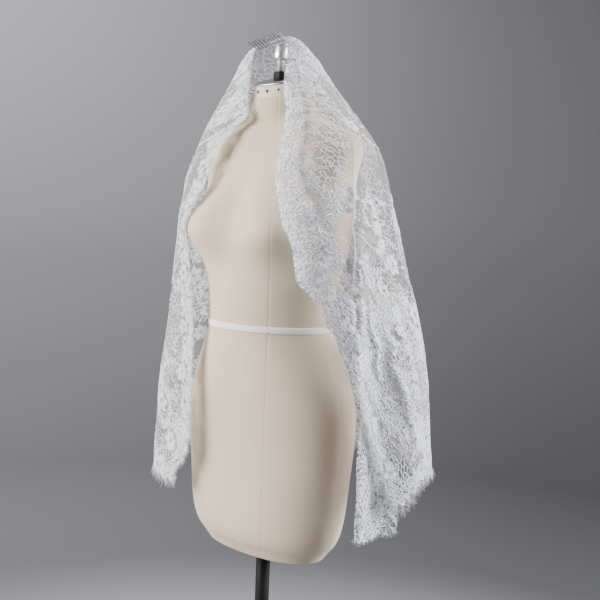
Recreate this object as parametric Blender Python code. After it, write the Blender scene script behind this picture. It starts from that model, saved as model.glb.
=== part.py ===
# Lace mantilla bridal veil, hung from a comb over a limbless dress form on a pole.
# Metres, +Z up. The form faces -Y and the wearer's left side is +X.
import math

import bpy
import numpy as np

COLLECTION = "bridal_veil_on_dress_form"

# Stand
BASE_RADIUS = 0.19
BASE_HEIGHT = 0.018
COLLAR_RADIUS = 0.030
COLLAR_TOP = 0.060
POLE_RADIUS = 0.0125
SEAM_GAP = 0.0003

# Torso rings: height at the middle, half width, front depth, back depth, squareness, forward tilt
TORSO = [
    (0.5980, 0.116, 0.050, 0.066, 2.2, 0.0),
    (0.6015, 0.127, 0.060, 0.077, 2.2, 0.0),
    (0.6090, 0.138, 0.069, 0.084, 2.2, 0.0),
    (0.6260, 0.152, 0.079, 0.089, 2.2, 0.0),
    (0.6550, 0.162, 0.086, 0.093, 2.2, 0.0),
    (0.7000, 0.168, 0.088, 0.097, 2.2, 0.0),
    (0.7600, 0.173, 0.089, 0.103, 2.2, 0.0),
    (0.8200, 0.176, 0.091, 0.111, 2.2, 0.0),
    (0.8700, 0.172, 0.094, 0.114, 2.2, 0.0),
    (0.9200, 0.155, 0.099, 0.108, 2.1, 0.0),
    (0.9600, 0.135, 0.101, 0.097, 2.0, 0.0),
    (0.9930, 0.120, 0.101, 0.088, 2.0, 0.0),
    (1.0040, 0.120, 0.101, 0.088, 2.0, 0.0),
    (1.0400, 0.121, 0.102, 0.086, 2.0, 0.0),
    (1.0800, 0.130, 0.101, 0.091, 2.1, 0.0),
    (1.1100, 0.139, 0.099, 0.096, 2.2, 0.0),
    (1.1350, 0.145, 0.097, 0.101, 2.2, 0.0),
    (1.1550, 0.148, 0.095, 0.104, 2.2, 0.0),
    (1.1750, 0.149, 0.091, 0.106, 2.2, 0.0),
    (1.1950, 0.149, 0.087, 0.108, 2.2, 0.0),
    (1.2200, 0.150, 0.080, 0.108, 2.2, 0.0),
    (1.2550, 0.154, 0.070, 0.106, 2.2, 0.0),
    (1.2900, 0.168, 0.062, 0.100, 2.2, 0.02),
    (1.3100, 0.175, 0.058, 0.092, 2.2, 0.04),
    (1.3220, 0.168, 0.056, 0.086, 2.1, 0.06),
    (1.3320, 0.142, 0.054, 0.081, 2.0, 0.09),
    (1.3430, 0.108, 0.051, 0.077, 2.0, 0.14),
    (1.3510, 0.078, 0.048, 0.073, 2.0, 0.18),
    (1.3580, 0.060, 0.045, 0.069, 2.0, 0.21),
    (1.3700, 0.056, 0.044, 0.067, 2.0, 0.24),
    (1.3960, 0.054, 0.043, 0.066, 2.0, 0.28),
]
NECK_CAP = [
    (1.3964, 0.0525, 0.0415, 0.0645, 2.0, 0.28),
    (1.3990, 0.0510, 0.0400, 0.0630, 2.0, 0.28),
    (1.4160, 0.0505, 0.0395, 0.0625, 2.0, 0.31),
    (1.4175, 0.0495, 0.0385, 0.0615, 2.0, 0.31),
]
NECK_PLATE = [
    (1.4179, 0.0490, 0.0380, 0.0610, 2.0, 0.31),
    (1.4209, 0.0490, 0.0380, 0.0610, 2.0, 0.31),
]
CLAMP = [
    (1.4213, 0.0105, 0.0105, 0.0105, 3.0, 0.31),
    (1.4336, 0.0105, 0.0105, 0.0105, 3.0, 0.0),
]
# Each breast is a soft mound on the ring: angle off the side, angular width, height span, rise
BUST = {"angle": 53.0, "width": 27.0, "height": 1.163, "up": 0.060, "down": 0.047, "rise": 0.041}

# Finial profile: radius, height
FINIAL = [
    (0.0068, 1.4339), (0.0068, 1.4535), (0.0108, 1.4548), (0.0122, 1.4570),
    (0.0122, 1.4808), (0.0110, 1.4829),
]

TAPE_WIDTH = 0.011
TAPE_THICKNESS = 0.0012
TAPE_HEIGHT = 0.9985

# Veil
WALL = 0.0013
BODY_CLEARANCE = 0.0014
LAYER_GAP = 0.0008
CROWN_Z = 1.4446
FLARE_Z = 1.0
SPINE_LEFT = (0.0394, -0.0271, 1.4812)
SPINE_RIGHT = (-0.0381, -0.0240, 1.4693)
CROWN_RISE = 0.0285
GATHER_TURN = 0.12
GATHER_BACK = 0.004

# Sections of the hanging cloth: height, reach to the wearer's left and right, front depth left
# and right of the opening, back depth
SECTIONS = [
    (1.4446, 0.071, 0.090, 0.046, 0.040, 0.049),
    (1.4042, 0.104, 0.125, 0.056, 0.045, 0.079),
    (1.3766, 0.127, 0.143, 0.062, 0.050, 0.096),
    (1.3374, 0.162, 0.167, 0.074, 0.066, 0.121),
    (1.3120, 0.1775, 0.1770, 0.088, 0.078, 0.138),
    (1.2896, 0.190, 0.186, 0.095, 0.082, 0.150),
    (1.2560, 0.197, 0.195, 0.104, 0.094, 0.160),
    (1.1880, 0.203, 0.200, 0.130, 0.120, 0.176),
    (1.1150, 0.206, 0.211, 0.128, 0.118, 0.184),
    (0.9936, 0.213, 0.224, 0.112, 0.112, 0.194),
    (0.8690, 0.222, 0.237, 0.110, 0.118, 0.202),
    (0.7550, 0.234, 0.243, 0.110, 0.122, 0.213),
    (0.6400, 0.240, 0.246, 0.110, 0.124, 0.221),
]
SECTION_POWER = 2.4

# Front edges of the veil: height and how far the edge lies across the view, x + y
EDGE_LEFT = [
    (1.4446, 0.0140), (1.4140, 0.0112), (1.3890, 0.0114), (1.3640, 0.0200), (1.3240, 0.0148),
    (1.2980, 0.0070), (1.2720, 0.0026), (1.2380, 0.0009), (1.2040, 0.0118), (1.1740, 0.0203),
    (1.1550, 0.0366), (1.1320, 0.0466), (1.0830, 0.0575), (1.0700, 0.0800), (1.0547, 0.1032),
    (1.0368, 0.1112), (1.0138, 0.1184), (1.0010, 0.1389), (0.9800, 0.1649), (0.9480, 0.1640),
    (0.9260, 0.1925), (0.9120, 0.2004), (0.8875, 0.2146), (0.8000, 0.2520), (0.6900, 0.3060),
    (0.6400, 0.3200),
]
EDGE_RIGHT = [
    (1.4446, -0.0700), (1.4190, -0.0747), (1.3830, -0.0764), (1.3530, -0.0720), (1.3370, -0.1005),
    (1.3120, -0.1265), (1.2800, -0.1499), (1.2340, -0.1739), (1.2080, -0.1914), (1.1800, -0.2102),
    (1.1660, -0.2200), (1.1100, -0.2060), (0.9900, -0.1900), (0.9200, -0.1903), (0.8000, -0.1902),
    (0.7736, -0.1939), (0.7571, -0.2008), (0.7293, -0.2260), (0.6400, -0.2300),
]

# Folds: angle round from the left side, top height, bottom height, half width in degrees, outward push
FOLDS = [
    (40, 1.270, 0.600, 26, 0.054),
    (-5, 1.325, 0.960, 4, 0.008),
    (8, 1.200, 0.600, 8, -0.010),
    (22, 1.150, 0.600, 7, 0.007),
    (66, 1.280, 0.600, 8, -0.014),
    (80, 1.300, 0.600, 8, 0.014),
    (94, 1.250, 0.600, 7, -0.014),
    (108, 1.290, 0.600, 8, 0.016),
    (122, 1.220, 0.600, 7, -0.012),
    (137, 1.270, 0.600, 12, 0.030),
    (156, 1.200, 0.600, 8, -0.010),
    (171, 1.180, 0.600, 7, 0.008),
    (186, 1.280, 0.600, 7, -0.006),
    (203, 1.180, 0.600, 12, 0.012),
]

# Lower edge of the cloth: share of the way round from left edge to right edge, height
HEM = [
    (0.00, 0.698), (0.03, 0.705), (0.06, 0.717), (0.09, 0.735), (0.12, 0.748), (0.30, 0.752),
    (0.50, 0.749), (0.70, 0.745), (0.84, 0.730), (0.92, 0.709), (0.97, 0.696), (1.00, 0.708),
]
HEM_BORDER = 0.048
SCALLOP_PITCH = 0.026
SCALLOP_DEPTH = 0.006
LASH_STRIP = 0.0018
LASH_GAP = 0.0006
LASH_THICKNESS = 0.0011
LASH_LENGTH = 0.012

# Front border turned outward: height, width, lift off the panel, ruffle
TURNED = [
    (1.4380, 0.014, 0.002, 0.000),
    (1.3900, 0.021, 0.004, 0.000),
    (1.3200, 0.026, 0.005, 0.001),
    (1.2500, 0.032, 0.007, 0.002),
    (1.2050, 0.045, 0.012, 0.004),
    (1.1650, 0.052, 0.016, 0.005),
    (1.1200, 0.046, 0.012, 0.004),
    (1.0860, 0.032, 0.006, 0.001),
    (1.0560, 0.012, 0.001, 0.000),
]
TURNED_WAVE = 0.046

# Inner lap: height, where its two upright edges lie across the view, how far inside the panel
LAP = [
    (0.9700, 0.1900, 0.2300, 0.0031),
    (0.9300, 0.2030, 0.2650, 0.0060),
    (0.8875, 0.2120, 0.2950, 0.0110),
    (0.8000, 0.2080, 0.3040, 0.0150),
    (0.7000, 0.2060, 0.3030, 0.0170),
    (0.6580, 0.2060, 0.3020, 0.0170),
]
LAP_RIPPLE = 0.003
LAP_HEM_RISE = 0.003

COMB_TEETH = 20
COMB_DEPTH = 0.0022
COMB_STAND = 0.0017
COMB_HEIGHT = 0.0022
TOOTH_FORWARD = 0.018
TOOTH_UP = 0.011


def smoothstep(t):
    t = np.clip(t, 0.0, 1.0)
    return t * t * (3.0 - 2.0 * t)


def column(table, index):
    return np.array([row[index] for row in table], float)


def rounded(z, table, index, span=0.014):
    """A table column at height z, its corners eased over a short span."""
    order = np.argsort(column(table, 0))
    xs, ys = column(table, 0)[order], column(table, index)[order]
    total = 0.0
    for k in range(-3, 4):
        total = total + np.interp(z + span * k / 3.0, xs, ys)
    return total / 7.0


def ring_radius(theta, half_width, front, back, power):
    c, s = np.abs(np.cos(theta)), np.abs(np.sin(theta))
    depth = np.where(np.sin(theta) < 0.0, front, back)
    return ((c / half_width) ** power + (s / depth) ** power) ** (-1.0 / power)


def angle_between(a, b):
    return (a - b + math.pi) % (2.0 * math.pi) - math.pi


def bust_rise(theta, z):
    rise = 0.0
    reach = np.where(z > BUST["height"], BUST["up"], BUST["down"])
    lift = np.exp(-(((z - BUST["height"]) / reach) ** 2))
    for sign in (-1.0, 1.0):
        centre = math.radians(-90.0 + sign * (90.0 - BUST["angle"]))
        off = np.degrees(angle_between(theta, centre)) / BUST["width"]
        rise = rise + BUST["rise"] * lift * np.exp(-(off ** 2))
    return rise


def body_radius(theta, z):
    """How far the torso reaches from the pole axis at an angle and height."""
    z = np.minimum(z, 1.3960)
    half = rounded(z, TORSO, 1, 0.004)
    front = rounded(z, TORSO, 2, 0.004)
    back = rounded(z, TORSO, 3, 0.004)
    power = rounded(z, TORSO, 4, 0.004)
    return ring_radius(theta, half, front, back, power) + bust_rise(theta, z)


def fold_push(theta, z):
    push = 0.0
    for angle, top, bottom, half, out in FOLDS:
        off = np.degrees(angle_between(theta, math.radians(angle))) / half
        depth = smoothstep((top - z) / max(0.55 * (top - bottom), 0.05))
        fade = smoothstep((z - bottom) / 0.06 + 1.0)
        push = push + out * depth * fade * np.exp(-(off ** 2))
    return push


def cloth_radius(theta, z):
    """Reach of the middle of the cloth wall from the pole axis."""
    left, right = rounded(z, SECTIONS, 1), rounded(z, SECTIONS, 2)
    front_left, front_right = rounded(z, SECTIONS, 3), rounded(z, SECTIONS, 4)
    back = rounded(z, SECTIONS, 5)
    side = smoothstep(0.5 - 0.5 * np.cos(theta))
    width = left * (1.0 - side) + right * side
    front = front_left * (1.0 - side) + front_right * side
    reach = ring_radius(theta, width, front, back, SECTION_POWER) + fold_push(theta, z)
    least = body_radius(theta, z) + BODY_CLEARANCE + WALL / 2.0
    gap = reach - least
    return 0.5 * (reach + least + np.sqrt(gap * gap + 0.002 ** 2))


def edge_angle(z, table, left):
    """Angle at which the cloth crosses the sideways distance given in the edge table."""
    want = float(rounded(np.array(z), table, 1, 0.006))
    low, high = (-66.0, 60.0) if left else (188.0, 262.0)
    grid = np.radians(np.linspace(low, high, 253))
    reach = cloth_radius(grid, np.full(grid.shape, z))
    across = reach * (np.cos(grid) + np.sin(grid))
    if left:
        hits = np.nonzero(across >= want)[0]
        return grid[hits[0]] if len(hits) else grid[0]
    best = np.argmin(across)
    rest = np.nonzero(across[best:] >= want)[0]
    return grid[best + rest[0]] if len(rest) else grid[-1]


EDGE_CACHE = {}


def edges_at(z):
    key = round(float(z), 4)
    if key not in EDGE_CACHE:
        EDGE_CACHE[key] = (edge_angle(key, EDGE_LEFT, True), edge_angle(key, EDGE_RIGHT, False))
    return EDGE_CACHE[key]


def hem_height(u):
    xs, ys = column(HEM, 0), column(HEM, 1)
    total = 0.0
    for k in range(-3, 4):
        total = total + np.interp(u + 0.02 * k / 3.0, xs, ys)
    return total / 7.0


def angle_at(u, z):
    """Angle for a share u of the way round; only the outer parts follow the front edges."""
    start, end = edges_at(z)
    first, last = math.radians(-44.0), math.radians(216.0)
    theta = first + (last - first) * u
    theta += (start - first) * max(0.0, 1.0 - u / 0.40)
    return theta + (end - last) * max(0.0, 1.0 - (1.0 - u) / 0.40)


def hang_point(u, z):
    """A point of the hanging cloth: u runs from the left front edge round to the right one."""
    theta = angle_at(u, z)
    reach = float(cloth_radius(np.array(theta), np.array(z)))
    return np.array([reach * math.cos(theta), reach * math.sin(theta), z])


def cloth_point(u, v):
    """The ground cloth: v is 0 at the comb, 0.18 where it clears the crown, 1 at the border."""
    if v < 0.18:
        w = v / 0.18
        share = u * smooth_one(u / GATHER_TURN)
        top = np.array(SPINE_LEFT) * (1.0 - share) + np.array(SPINE_RIGHT) * share
        top[1] += GATHER_BACK * smooth_one(u / GATHER_TURN) * smooth_one((1.0 - u) / 0.6)
        low = hang_point(u, CROWN_Z)
        point = top * (1.0 - w) + low * w
        back = math.sin(math.pi * min(max(u, 0.0), 1.0))
        point[2] += CROWN_RISE * back * math.sin(math.pi * w ** 0.8)
        return point
    hem = float(hem_height(u)) + HEM_BORDER
    w = (v - 0.18) / 0.82
    knee = (CROWN_Z - FLARE_Z) / (CROWN_Z - 0.72)
    if w < knee:
        z = CROWN_Z - (CROWN_Z - FLARE_Z) * w / knee
    else:
        z = FLARE_Z - (FLARE_Z - hem) * (w - knee) / (1.0 - knee)
    return hang_point(u, z)


def grid_points(us, vs, place):
    return np.array([[place(u, v) for u in us] for v in vs])


def grid_normals(grid):
    du = np.gradient(grid, axis=1)
    dv = np.gradient(grid, axis=0)
    n = np.cross(dv, du)
    n /= np.linalg.norm(n, axis=2, keepdims=True) + 1e-12
    for _ in range(2):
        wide = np.pad(n, ((1, 1), (1, 1), (0, 0)), mode="edge")
        n = 2.0 * n + wide[:-2, 1:-1] + wide[2:, 1:-1] + wide[1:-1, :-2] + wide[1:-1, 2:]
        n /= np.linalg.norm(n, axis=2, keepdims=True) + 1e-12
    return n


def new_object(name, verts, faces, material):
    mesh = bpy.data.meshes.new(name)
    mesh.from_pydata([tuple(float(c) for c in v) for v in verts], [], faces)
    mesh.update()
    ob = bpy.data.objects.new(name, mesh)
    ob.data.materials.append(material)
    bpy.data.collections[COLLECTION].objects.link(ob)
    return ob


def wall_from_grid(name, grid, material, thickness=WALL, lift=0.0):
    """A closed wall: the grid's two faces set apart, joined round the rim."""
    normals = grid_normals(grid)
    outer = grid + normals * (lift + thickness / 2.0)
    inner = grid + normals * (lift - thickness / 2.0)
    rows, cols = grid.shape[:2]
    verts = np.concatenate([outer.reshape(-1, 3), inner.reshape(-1, 3)])
    n = rows * cols
    faces = []
    for j in range(rows - 1):
        for i in range(cols - 1):
            a, b, c, d = j * cols + i, j * cols + i + 1, (j + 1) * cols + i + 1, (j + 1) * cols + i
            faces.append((a, d, c, b))
            faces.append((n + a, n + b, n + c, n + d))
    rim = [i for i in range(cols)]
    rim += [j * cols + cols - 1 for j in range(1, rows)]
    rim += [(rows - 1) * cols + i for i in range(cols - 2, -1, -1)]
    rim += [j * cols for j in range(rows - 2, 0, -1)]
    for k, a in enumerate(rim):
        b = rim[(k + 1) % len(rim)]
        faces.append((a, b, n + b, n + a))
    return new_object(name, verts, faces, material)


def loft(name, rows, material, segments=40, bust=False, turn=0.0):
    """Rings stacked and capped. Each ring may tilt so its front is lower than its back."""
    verts, faces = [], []
    for z, half, front, back, power, tilt in rows:
        for k in range(segments):
            theta = 2.0 * math.pi * (k + turn) / segments
            r = float(ring_radius(np.array(theta), half, front, back, power))
            if bust:
                r += float(bust_rise(np.array(theta), np.array(z)))
            x, y = r * math.cos(theta), r * math.sin(theta)
            verts.append((x, y, z + tilt * y))
    for j in range(len(rows) - 1):
        for k in range(segments):
            a, b = j * segments + k, j * segments + (k + 1) % segments
            faces.append((a, b, b + segments, a + segments))
    faces.append(tuple(reversed(range(segments))))
    faces.append(tuple(range((len(rows) - 1) * segments, len(rows) * segments)))
    return new_object(name, verts, faces, material)


def turned(name, profile, material, segments=24):
    rows = [(z, r, r, r, 2.0, 0.0) for r, z in profile]
    return loft(name, rows, material, segments)


def material(name, colour, roughness, metallic=0.0, alpha=1.0):
    mat = bpy.data.materials.new(name)
    mat.use_nodes = True
    shader = mat.node_tree.nodes["Principled BSDF"]
    shader.inputs["Base Color"].default_value = (*colour, 1.0)
    shader.inputs["Roughness"].default_value = roughness
    shader.inputs["Metallic"].default_value = metallic
    shader.inputs["Alpha"].default_value = alpha
    return mat


def build_stand(mats):
    r, h = BASE_RADIUS, BASE_HEIGHT
    plate = [(r - 0.002, 0.0), (r, 0.002), (r, h - 0.005), (r - 0.002, h - 0.0015), (r - 0.006, h)]
    turned("base_plate", plate, mats["black_metal"], 36)
    collar = [
        (COLLAR_RADIUS, h + SEAM_GAP), (COLLAR_RADIUS, COLLAR_TOP - 0.004),
        (COLLAR_RADIUS - 0.004, COLLAR_TOP),
    ]
    turned("base_collar", collar, mats["black_metal"], 24)
    pole_top = TORSO[0][0] - SEAM_GAP
    turned("pole", [(POLE_RADIUS, COLLAR_TOP + SEAM_GAP), (POLE_RADIUS, pole_top)], mats["black_metal"], 20)


def build_form(mats):
    loft("form_torso", TORSO, mats["linen"], 40, bust=True)
    loft("form_neck_cap", NECK_CAP, mats["cap"], 32)
    loft("neck_plate", NECK_PLATE, mats["steel"], 32)
    loft("clamp_block", CLAMP, mats["black_metal"], 20)
    turned("finial", FINIAL, mats["chrome"], 20)
    build_tape(mats)


def build_tape(mats):
    """A ribbon pinned round the waist, a hair off the torso all the way round."""
    segments = 40
    verts, faces = [], []
    z0, z1 = TAPE_HEIGHT - TAPE_WIDTH / 2.0, TAPE_HEIGHT + TAPE_WIDTH / 2.0
    for z in (z0, z1):
        for depth in (SEAM_GAP, SEAM_GAP + TAPE_THICKNESS):
            for k in range(segments):
                theta = 2.0 * math.pi * k / segments
                rows = [TORSO[i] for i in range(len(TORSO)) if abs(TORSO[i][0] - TAPE_HEIGHT) < 0.05]
                rows.sort()
                hi = next(i for i, row in enumerate(rows) if row[0] >= z)
                lo = max(hi - 1, 0)
                lo_r = ring_radius(np.array(theta), *rows[lo][1:5]) + bust_rise(np.array(theta), rows[lo][0])
                hi_r = ring_radius(np.array(theta), *rows[hi][1:5]) + bust_rise(np.array(theta), rows[hi][0])
                span = rows[hi][0] - rows[lo][0]
                part = (z - rows[lo][0]) / span if span else 0.0
                r = float(lo_r + (hi_r - lo_r) * part) + depth
                verts.append((r * math.cos(theta), r * math.sin(theta), z))
    s = segments
    for k in range(s):
        m = (k + 1) % s
        low_in, low_out, top_in, top_out = 0, s, 2 * s, 3 * s
        faces.append((low_out + k, low_out + m, top_out + m, top_out + k))
        faces.append((low_in + m, low_in + k, top_in + k, top_in + m))
        faces.append((low_in + k, low_in + m, low_out + m, low_out + k))
        faces.append((top_in + m, top_in + k, top_out + k, top_out + m))
    new_object("waist_tape", verts, faces, mats["tape"])


def on_cloth(theta, z):
    reach = float(cloth_radius(np.array(theta), np.array(z)))
    return np.array([reach * math.cos(theta), reach * math.sin(theta), z])


def slip(theta, z, out):
    """A point set out square from the middle of the cloth wall by a distance."""
    step = 0.004
    along = on_cloth(theta + 0.03, z) - on_cloth(theta - 0.03, z)
    rise = on_cloth(theta, z + step) - on_cloth(theta, z - step)
    square = np.cross(along, rise)
    return on_cloth(theta, z) + square / np.linalg.norm(square) * out


def angle_across(z, want, out):
    """Angle on the left side where a layer set out from the cloth lies at a sideways distance."""
    grid = np.radians(np.linspace(-60.0, 70.0, 261))
    reach = cloth_radius(grid, np.full(grid.shape, z)) + out
    across = reach * (np.cos(grid) + np.sin(grid))
    hits = np.nonzero(across >= want)[0]
    return grid[hits[0]] if len(hits) else grid[-1]


def turned_border_point(w, t):
    """The front border folded outward: w runs from its fold to its free edge, t down."""
    z = TURNED[0][0] + (TURNED[-1][0] - TURNED[0][0]) * t
    width = float(rounded(np.array(z), TURNED, 1))
    lift = float(rounded(np.array(z), TURNED, 2))
    wave = float(rounded(np.array(z), TURNED, 3))
    start = edges_at(z)[0]
    reach = float(cloth_radius(np.array(start), np.array(z)))
    theta = start + (width / reach) * w - 0.010 * (1.0 - w)
    out = WALL + LAYER_GAP + lift * math.sin(min(w * 1.9, 1.0) * math.pi / 2.0)
    out += wave * w * math.sin(2.0 * math.pi * z / TURNED_WAVE + 1.6 * w)
    return slip(theta, z, max(out, WALL + LAYER_GAP))


def lap_point(w, t):
    """The longer corner hanging inside the left panel."""
    z = LAP[0][0] + (LAP[-1][0] - LAP[0][0]) * t
    inward = float(rounded(np.array(z), LAP, 3, 0.008))
    a = angle_across(z, float(rounded(np.array(z), LAP, 1, 0.008)), -inward)
    b = angle_across(z, float(rounded(np.array(z), LAP, 2, 0.008)), -inward)
    theta = a + (b - a) * w
    ripple = LAP_RIPPLE * math.sin(math.pi * 2.0 * w) * smooth_one((LAP[0][0] - z) / 0.12)
    return slip(theta, z, -inward + ripple)


def smooth_one(t):
    return float(smoothstep(np.array(t)))


def scallop(distance):
    return SCALLOP_DEPTH * (1.0 - abs(math.sin(math.pi * distance / SCALLOP_PITCH)))


def hem_rows(us, upper, parts, drops):
    """Rows of the hem border under the ground's last row: drops are shares of the way down."""
    girth = 1.15
    rows = [[] for _ in drops]
    for i in range(len(us) - 1):
        last = i == len(us) - 2
        for k in range(parts + (1 if last else 0)):
            share = k / parts
            u = us[i] + (us[i + 1] - us[i]) * share
            top = upper[i] * (1.0 - share) + upper[i + 1] * share - np.array([0.0, 0.0, SEAM_GAP])
            low = float(hem_height(u)) + scallop(u * girth)
            for row, drop in zip(rows, drops):
                if drop == 0.0:
                    row.append(top)
                else:
                    row.append(hang_point(u, top[2] + (low - top[2]) * drop))
    return np.array(rows)


def lash_strip(name, row, material, outward, length=LASH_LENGTH, slant=None):
    """A narrow strip along a scalloped edge with one tapering strand from each face of its rim."""
    top = np.array([p + outward * LASH_GAP for p in row])
    low = np.array([p + outward * (LASH_GAP + LASH_STRIP) for p in row])
    grid = np.array([top, low])
    across = np.gradient(low, axis=0)
    normals = np.cross(np.tile(outward, (len(row), 1)), across)
    normals /= np.linalg.norm(normals, axis=1, keepdims=True) + 1e-12
    half = normals * LASH_THICKNESS / 2.0
    n = len(row)
    verts = [*(grid[0] + half), *(grid[1] + half), *(grid[0] - half), *(grid[1] - half)]
    faces = []
    for i in range(n - 1):
        faces.append((i, n + i, n + i + 1, i + 1))
        faces.append((2 * n + i, 2 * n + i + 1, 3 * n + i + 1, 3 * n + i))
        faces.append((i, i + 1, 2 * n + i + 1, 2 * n + i))
        tip = (low[i] + low[i + 1]) / 2.0 + outward * length
        if slant is not None:
            tip = tip + slant
        corners = (n + i, n + i + 1, 3 * n + i + 1, 3 * n + i)
        verts.append(tip)
        top_index = len(verts) - 1
        for k in range(4):
            faces.append((corners[(k + 1) % 4], corners[k], top_index))
    faces.append((0, 2 * n, 3 * n, n))
    faces.append((n - 1, 2 * n - 1, 4 * n - 1, 3 * n - 1))
    ob = new_object(name, verts, faces, material)
    return ob


def build_comb(mats):
    """A thin spine under the gathered edge, with a tooth from every other face of its front."""
    left, right = np.array(SPINE_LEFT), np.array(SPINE_RIGHT)
    left, right = left + (right - left) * 0.01, right + (left - right) * 0.08
    forward = np.array([0.0, -1.0, 0.0])
    along = (right - left) / np.linalg.norm(right - left)
    up = np.cross(along, forward)
    up /= np.linalg.norm(up)
    if up[2] < 0.0:
        up = -up
    near = COMB_STAND
    count = 2 * COMB_TEETH + 1
    verts, faces = [], []
    for k in range(count + 1):
        base = left + (right - left) * (k / count)
        for depth, height in ((near, -1), (near + COMB_DEPTH, -1), (near + COMB_DEPTH, 1), (near, 1)):
            verts.append(base + forward * depth + up * height * COMB_HEIGHT / 2.0)
    reach = forward * TOOTH_FORWARD + up * TOOTH_UP
    for k in range(count):
        a, b = 4 * k, 4 * (k + 1)
        for i in range(4):
            j = (i + 1) % 4
            if i == 1 and k % 2 == 1:
                root = (a + 1, b + 1, b + 2, a + 2)
                centre = sum(np.array(verts[r]) for r in root) / 4.0
                tip = []
                for r in root:
                    verts.append(centre + (np.array(verts[r]) - centre) * 0.45 + reach)
                    tip.append(len(verts) - 1)
                for m in range(4):
                    q = (m + 1) % 4
                    faces.append((root[q], root[m], tip[m], tip[q]))
                faces.append(tuple(reversed(tip)))
            else:
                faces.append((a + j, b + j, b + i, a + i))
    faces.append((3, 2, 1, 0))
    e = 4 * count
    faces.append((e, e + 1, e + 2, e + 3))
    new_object("comb", verts, faces, mats["steel"])


def build_veil(mats):
    vs = np.concatenate([np.linspace(0.0, 0.18, 6), np.linspace(0.18, 1.0, 31)[1:]])
    spans = {
        "veil_near_fall": (0.0, 0.36, 20), "veil_back_fall": (0.36, 0.66, 14),
        "veil_far_fall": (0.66, 1.0, 18),
    }
    cut = 0.0006
    for name, (u0, u1, count) in spans.items():
        us = np.linspace(u0 + (cut if u0 > 0.0 else 0.0), u1 - (cut if u1 < 1.0 else 0.0), count)
        grid = grid_points(us, vs, cloth_point)
        wall_from_grid(name, grid, mats["lace"])
        side = name.split("_")[1]
        rows = hem_rows(us, grid[-1], 4 if side == "back" else 3, (0.0, 0.55, 1.0))
        wall_from_grid("border_" + side + "_hem", rows, mats["lace"])
        lash_strip("lash_" + side + "_hem", rows[-1], mats["lace"], np.array([0.0, 0.0, -1.0]))
    ws, ts = np.linspace(0.0, 1.0, 7), np.linspace(0.0, 1.0, 30)
    wall_from_grid("border_front_turned", grid_points(ws, ts, turned_border_point), mats["lace"])
    ws, ts = np.linspace(0.0, 1.0, 15), np.linspace(0.0, 1.0, 15)
    lap = grid_points(ws, ts, lap_point)
    for i, w in enumerate(ws):
        lap[-1, i, 2] += LAP_HEM_RISE * abs(2.0 * w - 1.0) + scallop(w * 4.0 * SCALLOP_PITCH)
    wall_from_grid("veil_inner_lap", lap, mats["lace"])
    lash_strip("lash_inner_lap", lap[-1], mats["lace"], np.array([0.0, 0.0, -1.0]), 0.008)
    build_comb(mats)


def clear_scene():
    for ob in list(bpy.data.objects):
        bpy.data.objects.remove(ob, do_unlink=True)


def main():
    clear_scene()
    group = bpy.data.collections.new(COLLECTION)
    bpy.context.scene.collection.children.link(group)
    mats = {
        "linen": material("linen", (0.72, 0.66, 0.56), 0.85),
        "cap": material("cap", (0.78, 0.70, 0.58), 0.6),
        "steel": material("steel", (0.45, 0.46, 0.47), 0.35, 1.0),
        "chrome": material("chrome", (0.8, 0.81, 0.83), 0.08, 1.0),
        "black_metal": material("black_metal", (0.012, 0.012, 0.013), 0.35),
        "tape": material("tape", (0.85, 0.84, 0.82), 0.7),
        "lace": material("lace", (0.9, 0.9, 0.92), 0.8),
    }
    build_stand(mats)
    build_form(mats)
    build_veil(mats)


if __name__ == "__main__":
    main()
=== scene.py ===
"""The looks of a lace mantilla bridal veil that hangs from a wire comb over a limbless dress form.

Metres, +Z up. The form faces -Y and the wearer's left side is +X. The cloth repeats the sizes of
the part's source, so each shell lies on its own solid. Patterns follow the cloth by attributes.
"""
import math

import bmesh
import bpy
import numpy as np
from bpy.props import FloatProperty, FloatVectorProperty, IntProperty, PointerProperty
from mathutils import Matrix, Vector


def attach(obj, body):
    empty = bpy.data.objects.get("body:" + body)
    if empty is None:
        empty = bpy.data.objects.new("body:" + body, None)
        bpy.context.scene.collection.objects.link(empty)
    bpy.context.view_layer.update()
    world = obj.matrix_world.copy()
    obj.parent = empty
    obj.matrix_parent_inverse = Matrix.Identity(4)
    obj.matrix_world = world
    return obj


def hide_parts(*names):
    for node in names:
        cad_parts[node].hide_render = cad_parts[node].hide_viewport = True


bl_info = {
    "name": "Lace Veil on Dress Form",
    "version": (1, 0, 0),
    "blender": (4, 5, 0),
    "location": "3D View > Sidebar > Veil",
    "description": "Builds a draped lace veil with fringe and comb, the linen form under it and its stand",
    "category": "Object",
}

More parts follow.
